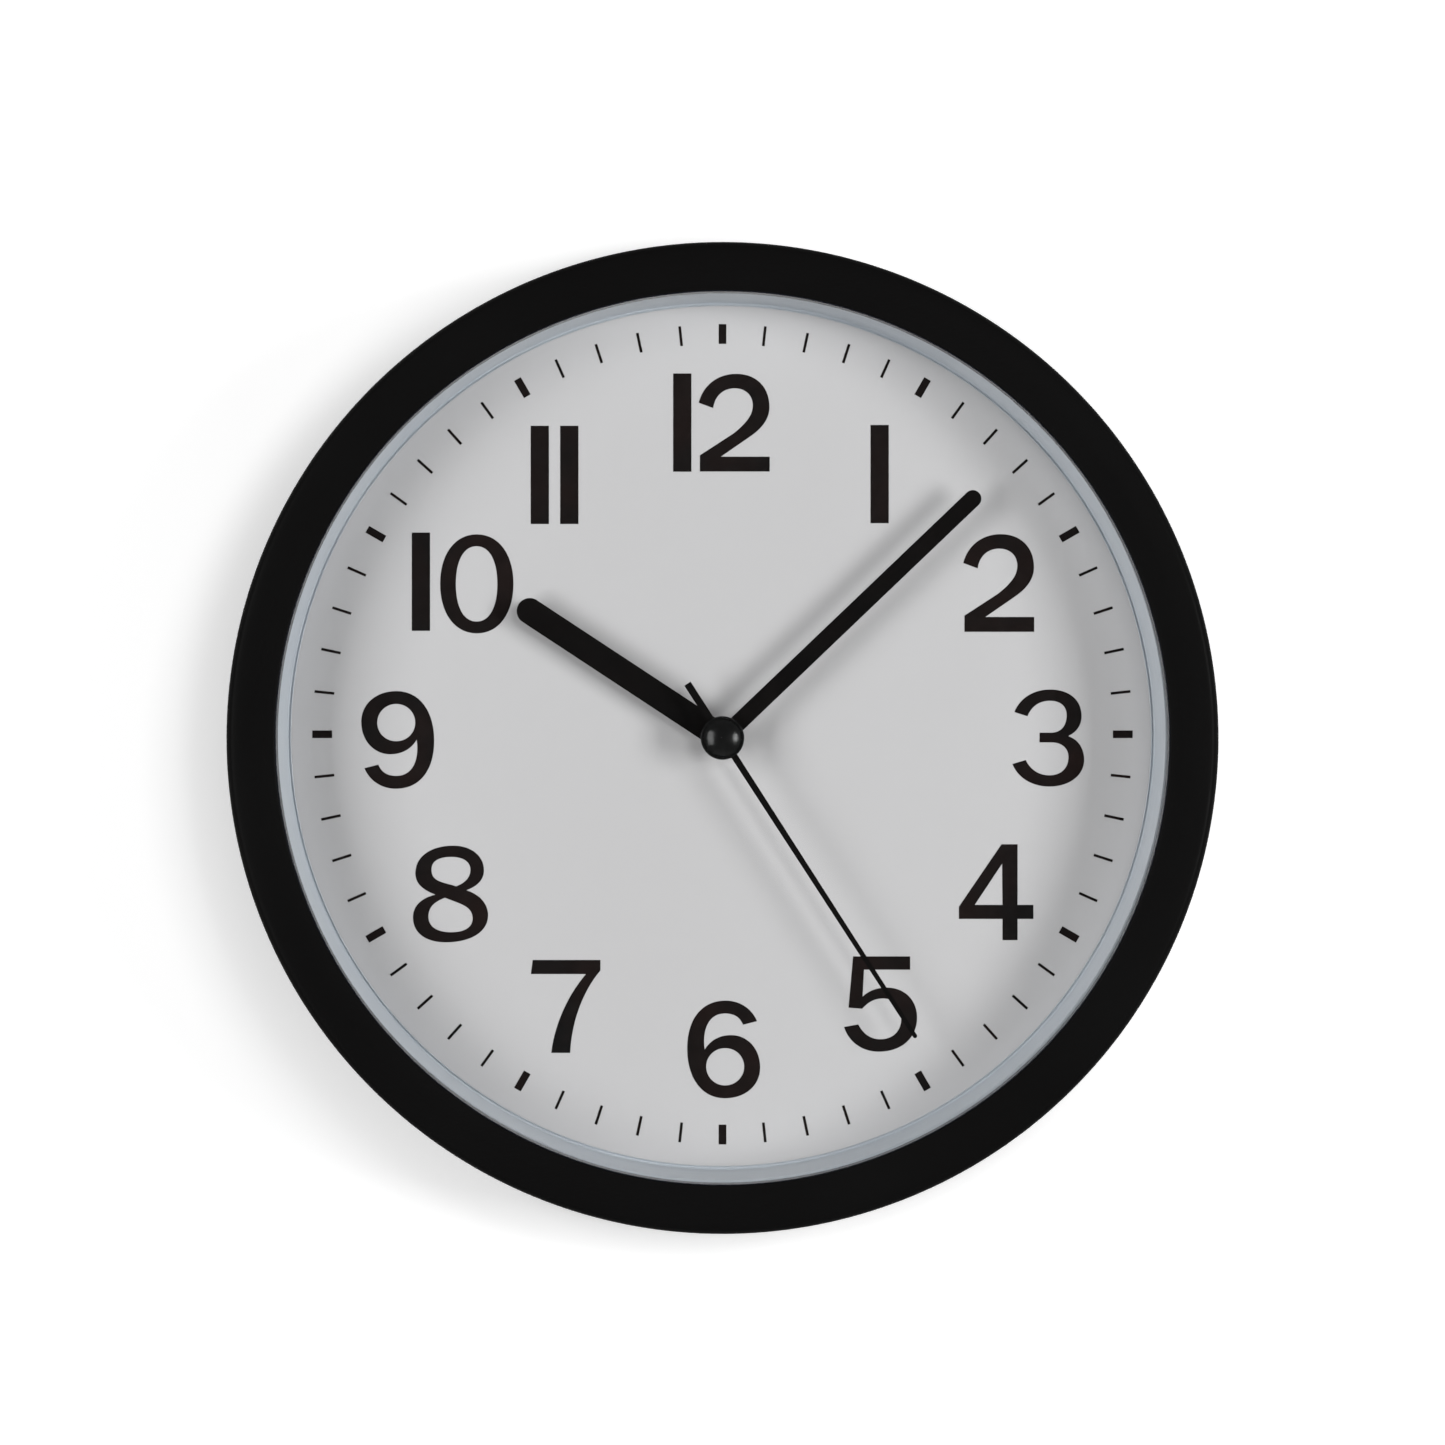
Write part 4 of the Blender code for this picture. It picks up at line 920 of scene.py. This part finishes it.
def make_cell():
    """The battery: a sleeve with rolled shoulders and a recessed plastic washer round the button."""
    low, high = node_mm("battery")
    axis_y, axis_z = (low[1] + high[1]) / 2, (low[2] + high[2]) / 2
    radius = (high[1] - low[1]) / 2
    start, end = low[0], high[0]
    section = [
        (0, start + CELL_RECESS),
        (radius - CELL_RECESS_EDGE, start + CELL_RECESS),
        (radius - CELL_FLAT_EDGE, start),
        *arc((radius - CELL_START_ROUND, start + CELL_START_ROUND), CELL_START_ROUND, 0, 90, 6),
        *arc((radius - CELL_END_ROUND, end - CELL_END_ROUND), CELL_END_ROUND, 90, 180, 6),
        (radius - CELL_SHOULDER[0], end - CELL_SHOULDER[1]),
        (radius - CELL_WASHER_EDGE, end - CELL_WASHER),
        (0, end - CELL_WASHER),
    ]
    mesh = turned_mesh(section)
    for vert in mesh.vertices:
        x, y, z = vert.co
        vert.co = (y, axis_y * MM - x, axis_z * MM + z)
    add_piece("cell_can", mesh, "cell", cell_sleeve(), "battery", 35)


# Stage, light and camera ------------------------------------------------------------------------------


def stage_paint(name, tone, glow_left, glow_right):
    """Pale paint with a glow that only the camera sees; on the wall the glow is dimmer to the left and near
    the rim, a painted shadow of the clock. From its rear, and for lamps, it is clear.
    """
    material, tree, surface = empty_material(name)
    place = add_node(tree, "ShaderNodeTexCoord").outputs["Object"]
    path = add_node(tree, "ShaderNodeLightPath")
    side = add_node(tree, "ShaderNodeNewGeometry")
    split = add_node(tree, "ShaderNodeSeparateXYZ")
    flat = add_node(tree, "ShaderNodeVectorMath", operation="LENGTH")
    tree.links.new(place, split.inputs["Vector"])
    tree.links.new(place, flat.inputs[0])
    # The glow's rise from left to right paints a shadow of the clock on the wall's left.
    across = add_range(
        tree, split.outputs["X"], (-GLOW_HALF_WIDTH, GLOW_HALF_WIDTH), (glow_left, glow_right)
    )
    # Less glow close to the rim: a painted shadow round the clock.
    away = add_range(tree, flat.outputs["Value"], GLOW_RIM, (0.0, GLOW_RIM_GAIN))
    seen = add_math(tree, "MULTIPLY", add_math(tree, "ADD", across, away), path.outputs["Is Camera Ray"])
    hidden = add_math(tree, "MAXIMUM", side.outputs["Backfacing"], path.outputs["Is Shadow Ray"])
    paint = add_node(tree, "ShaderNodeBsdfDiffuse", Color=(tone, tone, tone, 1))
    glow = add_node(tree, "ShaderNodeEmission")
    both = add_node(tree, "ShaderNodeAddShader")
    clear = add_node(tree, "ShaderNodeBsdfTransparent")
    mix = add_node(tree, "ShaderNodeMixShader")
    tree.links.new(seen, glow.inputs["Strength"])
    tree.links.new(paint.outputs[0], both.inputs[0])
    tree.links.new(glow.outputs[0], both.inputs[1])
    tree.links.new(hidden, mix.inputs["Fac"])
    tree.links.new(both.outputs[0], mix.inputs[1])
    tree.links.new(clear.outputs[0], mix.inputs[2])
    tree.links.new(mix.outputs[0], surface)
    return material


def stage_plane(name, corners, finish):
    mesh = bpy.data.meshes.new(name)
    mesh.from_pydata(corners, [], [(0, 1, 2, 3)])
    mesh.materials.append(finish)
    plane = bpy.data.objects.new(name, mesh)
    bpy.context.scene.collection.objects.link(plane)


def make_stage():
    """A wall just behind the rim, and a floor well below."""
    half, floor, near, y = STAGE_HALF, FLOOR_Z, FLOOR_NEAR, (WALL_Y + GAP) * MM
    wall = [(-half, y, floor), (half, y, floor), (half, y, half), (-half, y, half)]
    ground = [(-half, near, floor), (half, near, floor), (half, y, floor), (-half, y, floor)]
    # The wall's glow is painted light, dimmer at the left and near the rim: a painted shadow of the clock.
    stage_plane("wall", wall, stage_paint("wall_painted_glow_and_shadow", tone=0.93, glow_left=0.24, glow_right=0.46))
    stage_plane("floor", ground, stage_paint("floor_pale", tone=0.35, glow_left=0.6, glow_right=0.6))


def area_light(name, location, size, power, mirrored):
    """A softbox that faces the clock."""
    light = bpy.data.lights.new(name, "AREA")
    light.shape = "RECTANGLE"
    light.size, light.size_y = size
    light.energy = power
    lamp = bpy.data.objects.new(name, light)
    bpy.context.scene.collection.objects.link(lamp)
    lamp.location = location
    lamp.rotation_euler = (-lamp.location).to_track_quat("-Z", "Y").to_euler()
    lamp.visible_glossy = mirrored


def make_light():
    """The lamps, and a plain white world that the camera sees brighter than it lights."""
    world = bpy.data.worlds.new("studio")
    bpy.context.scene.world = world
    world.use_nodes = True
    tree = world.node_tree
    background = tree.nodes["Background"]
    background.inputs["Color"].default_value = (1, 1, 1, 1)
    seen = add_node(tree, "ShaderNodeLightPath").outputs["Is Camera Ray"]
    strength = add_range(tree, seen, (0.0, 1.0), (WORLD_LIGHT, WORLD_SEEN))
    tree.links.new(strength, background.inputs["Strength"])
    for name, side, height, distance, size, power, mirrored in LAMPS:
        angle = math.radians(side)
        location = (distance * math.sin(angle), -distance * math.cos(angle), height)
        area_light(name, location, size, power, mirrored)


def make_camera():
    camera = bpy.data.cameras.new("camera")
    camera.sensor_width = SENSOR
    camera.lens = SENSOR * VIEW_DISTANCE / VIEW_WIDTH
    camera.clip_end = CLIP_END
    holder = bpy.data.objects.new("camera", camera)
    bpy.context.scene.collection.objects.link(holder)
    holder.location = (0, CORNER_Y * MM - VIEW_DISTANCE, VIEW_CENTRE_Z)
    holder.rotation_euler = (math.radians(90), 0, 0)
    bpy.context.scene.camera = holder
    bpy.context.scene.view_settings.view_transform = "Standard"


make_frame()
make_lens()
make_ring()
make_print()
make_hands()
make_cap()
dress_cad_nodes()
make_cell()
make_stage()
make_light()
make_camera()
